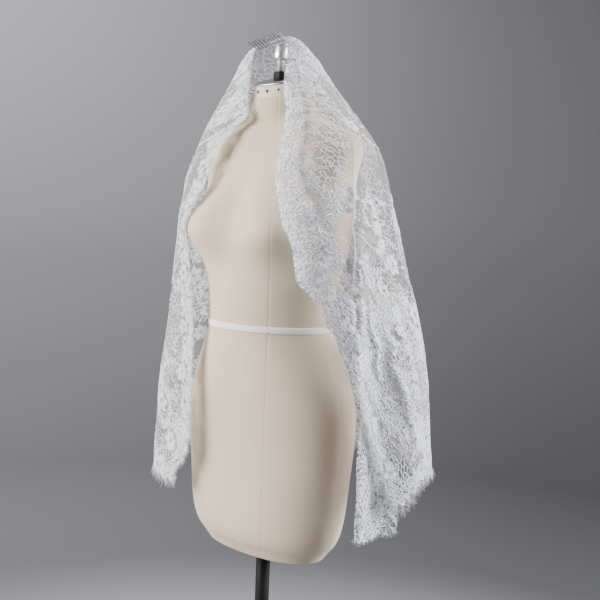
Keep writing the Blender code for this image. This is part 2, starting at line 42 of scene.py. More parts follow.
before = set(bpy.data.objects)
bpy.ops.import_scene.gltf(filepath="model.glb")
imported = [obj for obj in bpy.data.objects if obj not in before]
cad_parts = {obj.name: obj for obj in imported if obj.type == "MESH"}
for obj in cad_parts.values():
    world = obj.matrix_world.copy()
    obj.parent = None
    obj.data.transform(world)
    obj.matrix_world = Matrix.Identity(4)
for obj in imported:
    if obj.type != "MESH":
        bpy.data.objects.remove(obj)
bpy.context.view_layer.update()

# Torso rings: height, half width, front depth, back depth, squareness, forward tilt
TORSO = [
    (0.5980, 0.116, 0.050, 0.066, 2.2, 0.0),
    (0.6015, 0.127, 0.060, 0.077, 2.2, 0.0),
    (0.6090, 0.138, 0.069, 0.084, 2.2, 0.0),
    (0.6260, 0.152, 0.079, 0.089, 2.2, 0.0),
    (0.6550, 0.162, 0.086, 0.093, 2.2, 0.0),
    (0.7000, 0.168, 0.088, 0.097, 2.2, 0.0),
    (0.7600, 0.173, 0.089, 0.103, 2.2, 0.0),
    (0.8200, 0.176, 0.091, 0.111, 2.2, 0.0),
    (0.8700, 0.172, 0.094, 0.114, 2.2, 0.0),
    (0.9200, 0.155, 0.099, 0.108, 2.1, 0.0),
    (0.9600, 0.135, 0.101, 0.097, 2.0, 0.0),
    (0.9930, 0.120, 0.101, 0.088, 2.0, 0.0),
    (1.0040, 0.120, 0.101, 0.088, 2.0, 0.0),
    (1.0400, 0.121, 0.102, 0.086, 2.0, 0.0),
    (1.0800, 0.130, 0.101, 0.091, 2.1, 0.0),
    (1.1100, 0.139, 0.099, 0.096, 2.2, 0.0),
    (1.1350, 0.145, 0.097, 0.101, 2.2, 0.0),
    (1.1550, 0.148, 0.095, 0.104, 2.2, 0.0),
    (1.1750, 0.149, 0.091, 0.106, 2.2, 0.0),
    (1.1950, 0.149, 0.087, 0.108, 2.2, 0.0),
    (1.2200, 0.150, 0.080, 0.108, 2.2, 0.0),
    (1.2550, 0.154, 0.070, 0.106, 2.2, 0.0),
    (1.2900, 0.168, 0.062, 0.100, 2.2, 0.02),
    (1.3100, 0.175, 0.058, 0.092, 2.2, 0.04),
    (1.3220, 0.168, 0.056, 0.086, 2.1, 0.06),
    (1.3320, 0.142, 0.054, 0.081, 2.0, 0.09),
    (1.3430, 0.108, 0.051, 0.077, 2.0, 0.14),
    (1.3510, 0.078, 0.048, 0.073, 2.0, 0.18),
    (1.3580, 0.060, 0.045, 0.069, 2.0, 0.21),
    (1.3700, 0.056, 0.044, 0.067, 2.0, 0.24),
    (1.3960, 0.054, 0.043, 0.066, 2.0, 0.28),
]
NECK_CAP = [
    (1.3964, 0.0525, 0.0415, 0.0645, 2.0, 0.28),
    (1.3990, 0.0510, 0.0400, 0.0630, 2.0, 0.28),
    (1.4160, 0.0505, 0.0395, 0.0625, 2.0, 0.31),
    (1.4175, 0.0495, 0.0385, 0.0615, 2.0, 0.31),
]
NECK_PLATE = [
    (1.4179, 0.0490, 0.0380, 0.0610, 2.0, 0.31),
    (1.4209, 0.0490, 0.0380, 0.0610, 2.0, 0.31),
]
BUST = {"angle": 53.0, "width": 27.0, "height": 1.163, "up": 0.060, "down": 0.047, "rise": 0.041}

# Veil
BODY_CLEARANCE = 0.00205
CROWN_Z = 1.4446
FLARE_Z = 1.0
SPINE_LEFT = (0.0394, -0.0271, 1.4812)
SPINE_RIGHT = (-0.0381, -0.0240, 1.4693)
CROWN_RISE = 0.0285
GATHER_TURN = 0.12
GATHER_BACK = 0.004
HEM_BORDER = 0.048
SCALLOP_PITCH = 0.026
SCALLOP_DEPTH = 0.006
SECTION_POWER = 2.4

# Sections of the hanging cloth: height, reach to the wearer's left and right, front depth left
# and right of the opening, back depth
SECTIONS = [
    (1.4446, 0.071, 0.090, 0.046, 0.040, 0.049),
    (1.4042, 0.104, 0.125, 0.056, 0.045, 0.079),
    (1.3766, 0.127, 0.143, 0.062, 0.050, 0.096),
    (1.3374, 0.162, 0.167, 0.074, 0.066, 0.121),
    (1.3120, 0.1775, 0.1770, 0.088, 0.078, 0.138),
    (1.2896, 0.190, 0.186, 0.095, 0.082, 0.150),
    (1.2560, 0.197, 0.195, 0.104, 0.094, 0.160),
    (1.1880, 0.203, 0.200, 0.130, 0.120, 0.176),
    (1.1150, 0.206, 0.211, 0.128, 0.118, 0.184),
    (0.9936, 0.213, 0.224, 0.112, 0.112, 0.194),
    (0.8690, 0.222, 0.237, 0.110, 0.118, 0.202),
    (0.7550, 0.234, 0.243, 0.110, 0.122, 0.213),
    (0.6400, 0.240, 0.246, 0.110, 0.124, 0.221),
]

# Front edges of the veil: height and how far the edge lies across the view, x + y
EDGE_LEFT = [
    (1.4446, 0.0140), (1.4140, 0.0112), (1.3890, 0.0114), (1.3640, 0.0200), (1.3240, 0.0148),
    (1.2980, 0.0070), (1.2720, 0.0026), (1.2380, 0.0009), (1.2040, 0.0118), (1.1740, 0.0203),
    (1.1550, 0.0366), (1.1320, 0.0466), (1.0830, 0.0575), (1.0700, 0.0800), (1.0547, 0.1032),
    (1.0368, 0.1112), (1.0138, 0.1184), (1.0010, 0.1389), (0.9800, 0.1649), (0.9480, 0.1640),
    (0.9260, 0.1925), (0.9120, 0.2004), (0.8875, 0.2146), (0.8000, 0.2520), (0.6900, 0.3060),
    (0.6400, 0.3200),
]
EDGE_RIGHT = [
    (1.4446, -0.0700), (1.4190, -0.0747), (1.3830, -0.0764), (1.3530, -0.0720), (1.3370, -0.1005),
    (1.3120, -0.1265), (1.2800, -0.1499), (1.2340, -0.1739), (1.2080, -0.1914), (1.1800, -0.2102),
    (1.1660, -0.2200), (1.1100, -0.2060), (0.9900, -0.1900), (0.9200, -0.1903), (0.8000, -0.1902),
    (0.7736, -0.1939), (0.7571, -0.2008), (0.7293, -0.2260), (0.6400, -0.2300),
]

# Folds: angle round from the left side, top height, bottom height, half width in degrees, outward push
FOLDS = [
    (40, 1.270, 0.600, 26, 0.054),
    (-5, 1.325, 0.960, 4, 0.008),
    (8, 1.200, 0.600, 8, -0.010),
    (22, 1.150, 0.600, 7, 0.007),
    (66, 1.280, 0.600, 8, -0.014),
    (80, 1.300, 0.600, 8, 0.014),
    (94, 1.250, 0.600, 7, -0.014),
    (108, 1.290, 0.600, 8, 0.016),
    (122, 1.220, 0.600, 7, -0.012),
    (137, 1.270, 0.600, 12, 0.030),
    (156, 1.200, 0.600, 8, -0.010),
    (171, 1.180, 0.600, 7, 0.008),
    (186, 1.280, 0.600, 7, -0.006),
    (203, 1.180, 0.600, 12, 0.012),
]

# Lower edge of the cloth: share of the way round from left edge to right edge, height
HEM = [
    (0.00, 0.698), (0.03, 0.705), (0.06, 0.717), (0.09, 0.735), (0.12, 0.748), (0.30, 0.752),
    (0.50, 0.749), (0.70, 0.745), (0.84, 0.730), (0.92, 0.709), (0.97, 0.696), (1.00, 0.708),
]

# Front border turned outward: height, width, lift off the panel, ruffle
TURNED = [
    (1.4380, 0.014, 0.002, 0.000),
    (1.3900, 0.021, 0.004, 0.000),
    (1.3200, 0.026, 0.005, 0.001),
    (1.2500, 0.032, 0.007, 0.002),
    (1.2050, 0.045, 0.012, 0.004),
    (1.1650, 0.052, 0.016, 0.005),
    (1.1200, 0.046, 0.012, 0.004),
    (1.0860, 0.032, 0.006, 0.001),
    (1.0560, 0.012, 0.001, 0.000),
]
TURNED_WAVE = 0.046
TURNED_STAND = 0.0021

# Inner lap: height, where its two upright edges lie across the view, how far inside the panel
LAP = [
    (0.9700, 0.1900, 0.2300, 0.0031),
    (0.9300, 0.2030, 0.2650, 0.0060),
    (0.8875, 0.2120, 0.2950, 0.0110),
    (0.8000, 0.2080, 0.3040, 0.0150),
    (0.7000, 0.2060, 0.3030, 0.0170),
    (0.6580, 0.2060, 0.3020, 0.0170),
]
LAP_RIPPLE = 0.003

# Sharp and soft creases: start share, start height, end share, end height,
# half width in metres, push out of the cloth
CREASES = [
    (0.152, 1.318, 0.138, 1.218, 0.0022, 0.0034),
    (0.138, 1.218, 0.117, 1.153, 0.0030, 0.0044),
    (0.117, 1.153, 0.104, 1.092, 0.0030, 0.0040),
    (0.104, 1.092, 0.079, 1.050, 0.0036, 0.0030),
    (0.125, 1.166, 0.196, 1.126, 0.0020, 0.0026),
    (0.087, 1.070, 0.067, 1.011, 0.0090, -0.0070),
    (0.067, 1.011, 0.042, 0.955, 0.0090, -0.0060),
    (0.118, 1.060, 0.098, 0.930, 0.0080, 0.0050),
    (0.060, 1.420, 0.170, 1.300, 0.0100, 0.0020),
    (0.180, 1.280, 0.215, 1.140, 0.0080, -0.0030),
    (0.235, 1.330, 0.262, 1.020, 0.0090, 0.0040),
    (0.150, 1.000, 0.120, 0.800, 0.0110, 0.0045),
    (0.205, 1.050, 0.190, 0.790, 0.0120, -0.0045),
    (0.330, 1.200, 0.325, 0.800, 0.0100, 0.0040),
    (0.385, 1.300, 0.400, 0.900, 0.0100, -0.0035),
    (0.440, 1.180, 0.446, 0.780, 0.0070, 0.0035),
    (0.520, 1.340, 0.510, 0.930, 0.0080, -0.0040),
    (0.565, 1.150, 0.575, 0.780, 0.0090, 0.0040),
    (0.640, 1.290, 0.655, 0.900, 0.0070, 0.0035),
    (0.700, 1.180, 0.705, 0.790, 0.0100, -0.0040),
    (0.770, 1.300, 0.790, 0.960, 0.0060, 0.0032),
    (0.835, 1.120, 0.845, 0.780, 0.0080, -0.0030),
    (0.900, 1.335, 0.870, 1.120, 0.0070, 0.0030),
    (0.930, 1.000, 0.955, 0.770, 0.0060, 0.0034),
    (0.955, 1.320, 0.985, 1.200, 0.0050, -0.0024),
]

# The first rows of CREASES are sharp
SHARP_CREASES = 5

# Sheer and open places in the pattern: share of the way round, height, half width, half height,
# lean in degrees, how much pattern is left there
OPENINGS = [
    (0.075, 1.362, 0.014, 0.020, 30, 0.00),
    (0.105, 1.292, 0.050, 0.066, -15, 0.50),
    (0.116, 1.158, 0.032, 0.034, 15, 0.00),
    (0.157, 1.215, 0.024, 0.115, 6, 0.04),
    (0.735, 1.200, 0.078, 0.130, 0, 0.10),
    (0.125, 1.070, 0.020, 0.030, -20, 0.25),
    (0.110, 1.108, 0.018, 0.020, 0, 0.32),
    (0.167, 0.996, 0.009, 0.012, 20, 0.00),
    (0.170, 0.955, 0.020, 0.016, 0, 0.42),
    (0.078, 0.803, 0.028, 0.027, -10, 0.44),
    (0.036, 0.835, 0.013, 0.020, 0, 0.12),
    (0.205, 1.115, 0.013, 0.020, -20, 0.10),
    (0.215, 1.392, 0.062, 0.034, 0, 0.12),
    (0.262, 1.318, 0.062, 0.050, 10, 0.12),
    (0.335, 1.225, 0.055, 0.060, 0, 0.15),
    (0.480, 1.270, 0.050, 0.070, 0, 0.15),
    (0.560, 1.020, 0.045, 0.050, 0, 0.20),
    (0.410, 0.930, 0.050, 0.045, 0, 0.20),
    (0.925, 1.335, 0.022, 0.040, 0, 0.05),
    (0.925, 1.245, 0.018, 0.046, 0, 0.10),
    (0.945, 0.880, 0.014, 0.022, 0, 0.05),
    (0.958, 1.010, 0.010, 0.026, 0, 0.45),
]


def smoothstep(t):
    t = np.clip(t, 0.0, 1.0)
    return t * t * (3.0 - 2.0 * t)


def column(table, index):
    return np.array([row[index] for row in table], float)


def rounded(z, table, index, span=0.014):
    """A table column at height z, its corners eased over a short span."""
    order = np.argsort(column(table, 0))
    xs, ys = column(table, 0)[order], column(table, index)[order]
    return sum(np.interp(z + span * k / 3.0, xs, ys) for k in range(-3, 4)) / 7.0


def ring_radius(theta, half_width, front, back, power):
    c, s = np.abs(np.cos(theta)), np.abs(np.sin(theta))
    depth = np.where(np.sin(theta) < 0.0, front, back)
    return ((c / half_width) ** power + (s / depth) ** power) ** (-1.0 / power)


def bust_rise(theta, z):
    reach = np.where(z > BUST["height"], BUST["up"], BUST["down"])
    lift = np.exp(-(((z - BUST["height"]) / reach) ** 2))
    rise = 0.0
    for sign in (-1.0, 1.0):
        centre = math.radians(-90.0 + sign * (90.0 - BUST["angle"]))
        apart = (theta - centre + math.pi) % (2.0 * math.pi) - math.pi
        rise = rise + BUST["rise"] * lift * np.exp(-((np.degrees(apart) / BUST["width"]) ** 2))
    return rise


def body_radius(theta, z, span=0.004):
    """How far the torso reaches from the pole axis at an angle and height."""
    z = np.minimum(z, 1.3960)
    ring = [rounded(z, TORSO, k, span) for k in (1, 2, 3, 4)]
    return ring_radius(theta, *ring) + bust_rise(theta, z)


def fold_push(theta, z):
    push = 0.0
    for angle, top, bottom, half, out in FOLDS:
        apart = (theta - math.radians(angle) + math.pi) % (2.0 * math.pi) - math.pi
        depth = smoothstep((top - z) / max(0.55 * (top - bottom), 0.05))
        fade = smoothstep((z - bottom) / 0.06 + 1.0)
        push = push + out * depth * fade * np.exp(-((np.degrees(apart) / half) ** 2))
    return push


def cloth_radius(theta, z):
    """Reach of the cloth from the pole axis."""
    side = smoothstep(0.5 - 0.5 * np.cos(theta))
    width = rounded(z, SECTIONS, 1) * (1.0 - side) + rounded(z, SECTIONS, 2) * side
    front = rounded(z, SECTIONS, 3) * (1.0 - side) + rounded(z, SECTIONS, 4) * side
    reach = ring_radius(theta, width, front, rounded(z, SECTIONS, 5), SECTION_POWER)
    reach = reach + fold_push(theta, z)
    least = body_radius(theta, z) + BODY_CLEARANCE
    gap = reach - least
    return 0.5 * (reach + least + np.sqrt(gap * gap + 0.002 ** 2))


def edge_angle(z, table, left):
    """Angle at which the cloth crosses the sideways distance given in the edge table."""
    want = float(rounded(z, table, 1, 0.006))
    low, high = (-66.0, 60.0) if left else (188.0, 262.0)
    grid = np.radians(np.linspace(low, high, 505))
    across = cloth_radius(grid, np.full(grid.shape, z)) * (np.cos(grid) + np.sin(grid))
    start = 0 if left else int(np.argmin(across))
    hits = np.nonzero(across[start:] >= want)[0]
    if not len(hits):
        return grid[0] if left else grid[-1]
    k = start + hits[0]
    if k == start:
        return grid[k]
    share = (want - across[k - 1]) / (across[k] - across[k - 1] + 1e-12)
    return grid[k - 1] + (grid[k] - grid[k - 1]) * share


EDGE_Z = np.linspace(0.62, 1.46, 421)
EDGE_START = np.array([edge_angle(z, EDGE_LEFT, True) for z in EDGE_Z])
EDGE_END = np.array([edge_angle(z, EDGE_RIGHT, False) for z in EDGE_Z])


def on_cloth(theta, z):
    reach = cloth_radius(theta, z)
    return np.stack([reach * np.cos(theta), reach * np.sin(theta), z + 0.0 * reach], -1)


def hang_point(u, z):
    """A point of the hanging cloth: u runs from the left front edge round to the right one."""
    start, end = np.interp(z, EDGE_Z, EDGE_START), np.interp(z, EDGE_Z, EDGE_END)
    first, last = math.radians(-44.0), math.radians(216.0)
    theta = first + (last - first) * u
    theta = theta + (start - first) * np.maximum(0.0, 1.0 - u / 0.40)
    theta = theta + (end - last) * np.maximum(0.0, 1.0 - (1.0 - u) / 0.40)
    return on_cloth(theta, z)


def hem_height(u):
    xs, ys = column(HEM, 0), column(HEM, 1)
    return sum(np.interp(u + 0.02 * k / 3.0, xs, ys) for k in range(-3, 4)) / 7.0


def scallop(distance, pitch=SCALLOP_PITCH, depth=SCALLOP_DEPTH):
    return depth * (1.0 - np.abs(np.sin(np.pi * distance / pitch)))


def crease_push(u, z):
    """How far the listed creases and a fine unevenness lift the cloth."""
    push = 0.0
    for u0, z0, u1, z1, half, out in CREASES:
        du, dz = (u1 - u0) * 1.02, z1 - z0
        long = math.hypot(du, dz)
        px, pz = (u - u0) * 1.02, z - z0
        along = (px * du + pz * dz) / long ** 2
        across = (px * dz - pz * du) / long
        ends = smoothstep(along / 0.3 + 0.5) * smoothstep((1.0 - along) / 0.3 + 0.5)
        push = push + out * ends * np.exp(-((across / half) ** 2))
    ripple = np.sin(41.0 * u + 9.0 * z) * np.sin(23.0 * z - 13.0 * u)
    ripple = ripple + 0.6 * np.sin(97.0 * u - 17.0 * z + 1.3) * np.sin(31.0 * z + 2.0)
    return push + 0.0009 * ripple


def crease_pinch(u, z):
    """Where the sharpest creases stand the net on edge, so that it looks doubled; the same mask paints a highlight
    along them.
    """
    found = np.zeros(u.shape)
    for u0, z0, u1, z1, half, out in CREASES[:SHARP_CREASES]:
        du, dz = (u1 - u0) * 1.02, z1 - z0
        long = math.hypot(du, dz)
        px, pz = (u - u0) * 1.02, z - z0
        along = (px * du + pz * dz) / long ** 2
        ends = smoothstep((along + 0.04) / 0.08) * smoothstep((1.04 - along) / 0.08)
        found = np.maximum(found, ends * np.exp(-(((px * dz - pz * du) / long / 0.0017) ** 2)))
    return found


def cloth_point(u, v):
    """The veil: v is 0 at the comb, 0.18 where it clears the crown, 1 at the border, 1.12 at the hem."""
    share = u * smoothstep(u / GATHER_TURN)
    left, right = np.array(SPINE_LEFT), np.array(SPINE_RIGHT)
    top = left * (1.0 - share[..., None]) + right * share[..., None]
    top[..., 1] += GATHER_BACK * smoothstep(u / GATHER_TURN) * smoothstep((1.0 - u) / 0.6)
    w = np.clip(v / 0.18, 0.0, 1.0)
    crown = top * (1.0 - w[..., None]) + hang_point(u, np.full(u.shape, CROWN_Z)) * w[..., None]
    back = np.sin(math.pi * np.clip(u, 0.0, 1.0))
    crown[..., 2] += CROWN_RISE * back * np.sin(math.pi * w ** 0.8)
    hem = hem_height(u) + HEM_BORDER
    w = np.clip((v - 0.18) / 0.82, 0.0, 1.0)
    knee = (CROWN_Z - FLARE_Z) / (CROWN_Z - 0.72)
    upper = CROWN_Z - (CROWN_Z - FLARE_Z) * np.minimum(w / knee, 1.0)
    lower = FLARE_Z - (FLARE_Z - hem) * (w - knee) / (1.0 - knee)
    z = np.where(w < knee, upper, lower)
    low = hem_height(u) + scallop(u * 1.15)
    z = np.where(v > 1.0, z + (low - z) * np.clip((v - 1.0) / 0.12, 0.0, 1.0), z)
    return np.where((v < 0.18)[..., None], crown, hang_point(u, z))


def slip(theta, z, out):
    """A point set out square from the cloth by a distance."""
    along = on_cloth(theta + 0.03, z) - on_cloth(theta - 0.03, z)
    rise = on_cloth(theta, z + 0.004) - on_cloth(theta, z - 0.004)
    square = np.cross(along, rise)
    square /= np.linalg.norm(square, axis=-1, keepdims=True)
    return on_cloth(theta, z) + square * out[..., None]


def turned_border_point(w, t):
    """The front border folded outward: w runs from its fold to its free edge, t down."""
    z = TURNED[0][0] + (TURNED[-1][0] - TURNED[0][0]) * t
    width, lift, wave = (rounded(z, TURNED, k) for k in (1, 2, 3))
    width = width - scallop(z, SCALLOP_PITCH, 0.0045)
    start = np.interp(z, EDGE_Z, EDGE_START)
    reach = cloth_radius(start, z)
    theta = start + (width / reach) * w - 0.010 * (1.0 - w)
    out = TURNED_STAND + lift * np.sin(np.minimum(w * 1.9, 1.0) * math.pi / 2.0)
    out = out + wave * w * np.sin(2.0 * math.pi * z / TURNED_WAVE + 1.6 * w)
    fine = 0.0011 * w * smoothstep((1.27 - z) / 0.06) * np.sin(2.0 * math.pi * z / 0.0185 + 2.2 * w)
    return slip(theta, z, np.maximum(out + fine, TURNED_STAND))


def angle_across(z, want, out):
    """Angle on the left side where a layer set out from the cloth lies at a sideways distance."""
    grid = np.radians(np.linspace(-60.0, 70.0, 521))
    across = (cloth_radius(grid, np.full(grid.shape, z)) + out) * (np.cos(grid) + np.sin(grid))
    hits = np.nonzero(across >= want)[0]
    return grid[hits[0]] if len(hits) else grid[-1]


LAP_Z = np.linspace(LAP[-1][0], LAP[0][0], 105)
LAP_ENDS = np.array([
    [angle_across(z, float(rounded(z, LAP, k, 0.008)), -float(rounded(z, LAP, 3, 0.008))) for k in (1, 2)]
    for z in LAP_Z
])


def lap_point(w, t):
    """The longer corner hanging inside the left panel."""
    z = LAP[0][0] + (LAP[-1][0] - LAP[0][0]) * t
    inward = rounded(z, LAP, 3, 0.008)
    a, b = np.interp(z, LAP_Z, LAP_ENDS[:, 0]), np.interp(z, LAP_Z, LAP_ENDS[:, 1])
    ripple = LAP_RIPPLE * np.sin(2.0 * math.pi * w) * smoothstep((LAP[0][0] - z) / 0.12)
    ripple = ripple + 0.0010 * np.sin(2.0 * math.pi * (2.6 * w + 3.0 * t)) * smoothstep((LAP[0][0] - z) / 0.2)
    point = slip(a + (b - a) * w, z, -inward + ripple)
    rise = 0.003 * np.abs(2.0 * w - 1.0) + scallop(w * 4.0 * SCALLOP_PITCH, SCALLOP_PITCH, 0.004)
    point[..., 2] += rise * smoothstep((t - 0.93) / 0.07)
    return point


class Cloth:
    """A cloth surface sampled on a grid, with its own flat coordinates in metres."""

    def __init__(self, place, across, down, push=None):
        self.us, self.vs = across, down
        u, v = np.meshgrid(across, down)
        self.at_grid = place(u, v)
        self.normals = self.find_normals(self.at_grid)
        if push is not None:
            self.at_grid = self.at_grid + self.normals * push(u, v, self.at_grid)[..., None]
            self.normals = self.find_normals(self.at_grid)
        steps = np.linalg.norm(np.diff(self.at_grid, axis=1), axis=2)
        self.widths = steps.sum(1)
        falls = np.linalg.norm(np.diff(self.at_grid, axis=0), axis=2).mean(1)
        self.drops = np.concatenate([[0.0], np.cumsum(falls)])

    @staticmethod
    def find_normals(grid):
        n = np.cross(np.gradient(grid, axis=0), np.gradient(grid, axis=1))
        n /= np.linalg.norm(n, axis=2, keepdims=True) + 1e-12
        for _ in range(2):
            wide = np.pad(n, ((1, 1), (1, 1), (0, 0)), mode="edge")
            n = 2.0 * n + wide[:-2, 1:-1] + wide[2:, 1:-1] + wide[1:-1, :-2] + wide[1:-1, 2:]
            n /= np.linalg.norm(n, axis=2, keepdims=True) + 1e-12
        return n

    def flat(self):
        """Flat coordinates of the grid's points: across from the middle, and down."""
        share = (self.us - self.us[0]) / (self.us[-1] - self.us[0]) - 0.5
        a = self.widths[:, None] * share[None, :]
        return a, np.repeat(self.drops[:, None], len(self.us), axis=1)

    def share_of(self, a, t):
        """Grid shares (u, v) of flat coordinates."""
        v = np.interp(t, self.drops, self.vs)
        width = np.interp(v, self.vs, self.widths)
        return self.us[0] + (self.us[-1] - self.us[0]) * (a / width + 0.5), v

    def sample(self, u, v):
        """Point and normal at shares (u, v)."""
        x = np.clip(np.interp(u, self.us, np.arange(len(self.us))), 0, len(self.us) - 1.0001)
        y = np.clip(np.interp(v, self.vs, np.arange(len(self.vs))), 0, len(self.vs) - 1.0001)
        i, j = x.astype(int), y.astype(int)
        fx, fy = (x - i)[..., None], (y - j)[..., None]
        found = []
        for g in (self.at_grid, self.normals):
            low = g[j, i] * (1 - fx) + g[j, i + 1] * fx
            high = g[j + 1, i] * (1 - fx) + g[j + 1, i + 1] * fx
            found.append(low * (1 - fy) + high * fy)
        return found


def lattice_noise(x, y, seed):
    """Smooth value noise between 0 and 1."""
    xi, yi = np.floor(x).astype(np.int64), np.floor(y).astype(np.int64)
    fx, fy = smoothstep(x - xi), smoothstep(y - yi)

    def at(i, j):
        h = (i * 374761393 + j * 668265263 + seed * 1442695041) & 0xFFFFFFFF
        h = ((h ^ (h >> 13)) * 1274126177) & 0xFFFFFFFF
        return ((h ^ (h >> 16)) & 0xFFFF) / 65535.0

    low = at(xi, yi) * (1 - fx) + at(xi + 1, yi) * fx
    high = at(xi, yi + 1) * (1 - fx) + at(xi + 1, yi + 1) * fx
    return low * (1 - fy) + high * fy


def lace_fullness(u, z, a, t, edge):
    """How much pattern the net carries: 0 for bare net, 0.5 for open cells, 1 for full pattern."""
    warp = lattice_noise(a / 0.030, t / 0.030, 21) - 0.5
    bend = lattice_noise(a / 0.030, t / 0.030, 22) - 0.5
    ragged = lattice_noise(a / 0.011, t / 0.011, 3) * 0.6 + lattice_noise(a / 0.005, t / 0.005, 5) * 0.4 - 0.5
    wide = lattice_noise(a / 0.046 + 1.2 * warp, t / 0.054 + 1.2 * bend, 17) + 0.30 * ragged
    loose = lattice_noise(a / 0.060 + warp + 7.0, t / 0.060 + bend, 19) + 0.30 * ragged
    near = smoothstep((0.24 - u) / 0.05) + smoothstep((u - 0.90) / 0.04)
    most = 0.50 + 0.50 * smoothstep((loose - 0.40 + 0.10 * near) / 0.16)
    most = most * smoothstep((wide - 0.27 + 0.40 * near) / 0.12)
    for su, sz, half, tall, lean, left in OPENINGS:
        c, s = math.cos(math.radians(lean)), math.sin(math.radians(lean))
        x, y = (u - su) * 1.02, z - sz
        x, y = (x * c + y * s) / half, (y * c - x * s) / tall
        inside = smoothstep((1.10 - np.sqrt(x * x + y * y) + 0.9 * ragged) / 0.22)
        most = most * (1.0 - inside) + np.minimum(most, left) * inside
    border = smoothstep((0.046 - edge + 0.020 * ragged) / 0.012)
    under = smoothstep((0.056 - u + 0.02 * ragged) / 0.012) * smoothstep((z - 1.075) / 0.02)
    border, most = border * (1.0 - under), most * (1.0 - 0.85 * under)
    return np.clip(np.maximum(most, border) * smoothstep((edge - 0.0030) / 0.0035), 0.0, 1.0)


# Meshes

def piece(name, verts, faces, finish=None, smooth=True):
    """A mesh object at the origin."""
    mesh = bpy.data.meshes.new(name)
    mesh.from_pydata(np.asarray(verts, float).tolist(), [], [tuple(f) for f in faces])
    if smooth:
        mesh.polygons.foreach_set("use_smooth", [True] * len(mesh.polygons))
    mesh.update()
    ob = bpy.data.objects.new(name, mesh)
    bpy.context.scene.collection.objects.link(ob)
    if finish is not None:
        mesh.materials.append(finish)
    return ob


def put_values(ob, name, values):
    """Stores one number, or one vector, on each vertex."""
    values = np.asarray(values, np.float32)
    kind = "FLOAT" if values.ndim == 1 else "FLOAT_VECTOR"
    layer = ob.data.attributes.new(name, kind, "POINT")
    layer.data.foreach_set("value" if values.ndim == 1 else "vector", values.ravel())


def put_bake_map(ob, across, down):
    """A plain 0 to 1 map named OFBake, from two shares on each vertex."""
    layer = ob.data.uv_layers.new(name="OFBake")
    index = np.zeros(len(ob.data.loops), np.int64)
    ob.data.loops.foreach_get("vertex_index", index)
    layer.data.foreach_set("uv", np.stack([across, down], 1).astype(np.float32)[index].ravel())


def grid_faces(rows, cols, start=0, wrap=False):
    """Quads between the rows of a grid, facing out where columns run to the right seen from outside."""
    faces = []
    for j in range(rows - 1):
        for i in range(cols if wrap else cols - 1):
            a, b = start + j * cols + i, start + j * cols + (i + 1) % cols
            faces.append((a, a + cols, b + cols, b))
    return faces


def cloth_piece(name, cloth, finish, fullness, edge):
    """A single sheet over the cloth's grid, with its pattern's guides."""
    rows, cols = cloth.at_grid.shape[:2]
    ob = piece(name, cloth.at_grid.reshape(-1, 3), grid_faces(rows, cols), finish)
    a, t = cloth.flat()
    put_values(ob, "cloth", np.stack([a, t, 0.0 * a], -1).reshape(-1, 3))
    put_values(ob, "fullness", fullness.ravel())
    put_values(ob, "edge", edge.ravel())
    u, v = np.meshgrid(np.linspace(0.002, 0.998, cols), np.linspace(0.998, 0.002, rows))
    put_bake_map(ob, u.ravel(), v.ravel())
    return ob


def edge_distance(cloth, open_top=True, sides=(True, True)):
    """Distance in the cloth from each grid point to its nearest free edge, in metres."""
    a, t = cloth.flat()
    half = cloth.widths[:, None] / 2.0
    found = np.full(a.shape, 9.0)
    if sides[0]:
        found = np.minimum(found, a + half)
    if sides[1]:
        found = np.minimum(found, half - a)
    found = np.minimum(found, t[-1:, :] - t)
    if not open_top:
        found = np.minimum(found, t)
    return found


def lathe(name, profile, finish, segments=64):
    """A turned solid about the pole axis from (radius, height) rows."""
    angles = np.linspace(0.0, 2.0 * math.pi, segments, endpoint=False)
    verts = [(r * math.cos(q), r * math.sin(q), z) for r, z in profile for q in angles]
    faces = [tuple(reversed(f)) for f in grid_faces(len(profile), segments, wrap=True)]
    for ring, z in ((0, profile[0][1]), (len(profile) - 1, profile[-1][1])):
        middle = len(verts)
        verts.append((0.0, 0.0, z))
        for k in range(segments):
            a, b = ring * segments + k, ring * segments + (k + 1) % segments
            faces.append((b, a, middle) if ring == 0 else (a, b, middle))
    return piece(name, verts, faces, finish)


def tilted_loft(name, rows, finish, segments=96):
    """Closed rings from section rows, the front of each lower than its back."""
    angles = np.linspace(0.0, 2.0 * math.pi, segments, endpoint=False)
    verts, faces = [], []
    for z, half, front, back, power, tilt in rows:
        r = ring_radius(angles, half, front, back, power)
        verts += [(x, y, z + tilt * y) for x, y in zip(r * np.cos(angles), r * np.sin(angles))]
    faces = [tuple(reversed(f)) for f in grid_faces(len(rows), segments, wrap=True)]
    for ring in (0, len(rows) - 1):
        middle = len(verts)
        verts.append(tuple(np.mean(verts[ring * segments:(ring + 1) * segments], axis=0)))
        for k in range(segments):
            a, b = ring * segments + k, ring * segments + (k + 1) % segments
            faces.append((b, a, middle) if ring == 0 else (a, b, middle))
    return piece(name, verts, faces, finish)


def eased_rows(rows, cut=0.0006, steps=2):
    """Section rows with a few evenly spaced rows set between each two."""
    table = np.array(rows, float)
    out = [table[0]]
    for k in range(1, len(table)):
        a, b = table[k - 1], table[k]
        out += [a + (b - a) * s for s in np.linspace(0, 1, steps + 2)[1:-1]] + [b]
    return [tuple(r) for r in out]


# Materials

def finish_named(name):
    """A new node material with its Principled shader."""
    mat = bpy.data.materials.new(name)
    mat.use_nodes = True
    tree = mat.node_tree
    return mat, tree, tree.nodes["Principled BSDF"]


def node(tree, kind, **values):
    """Adds a node; keys with a leading i set inputs by index, the rest set its own fields."""
    n = tree.nodes.new(kind)
    for key, value in values.items():
        if key[0] == "i" and key[1:].isdigit():
            n.inputs[int(key[1:])].default_value = value
        else:
            setattr(n, key, value)
    return n


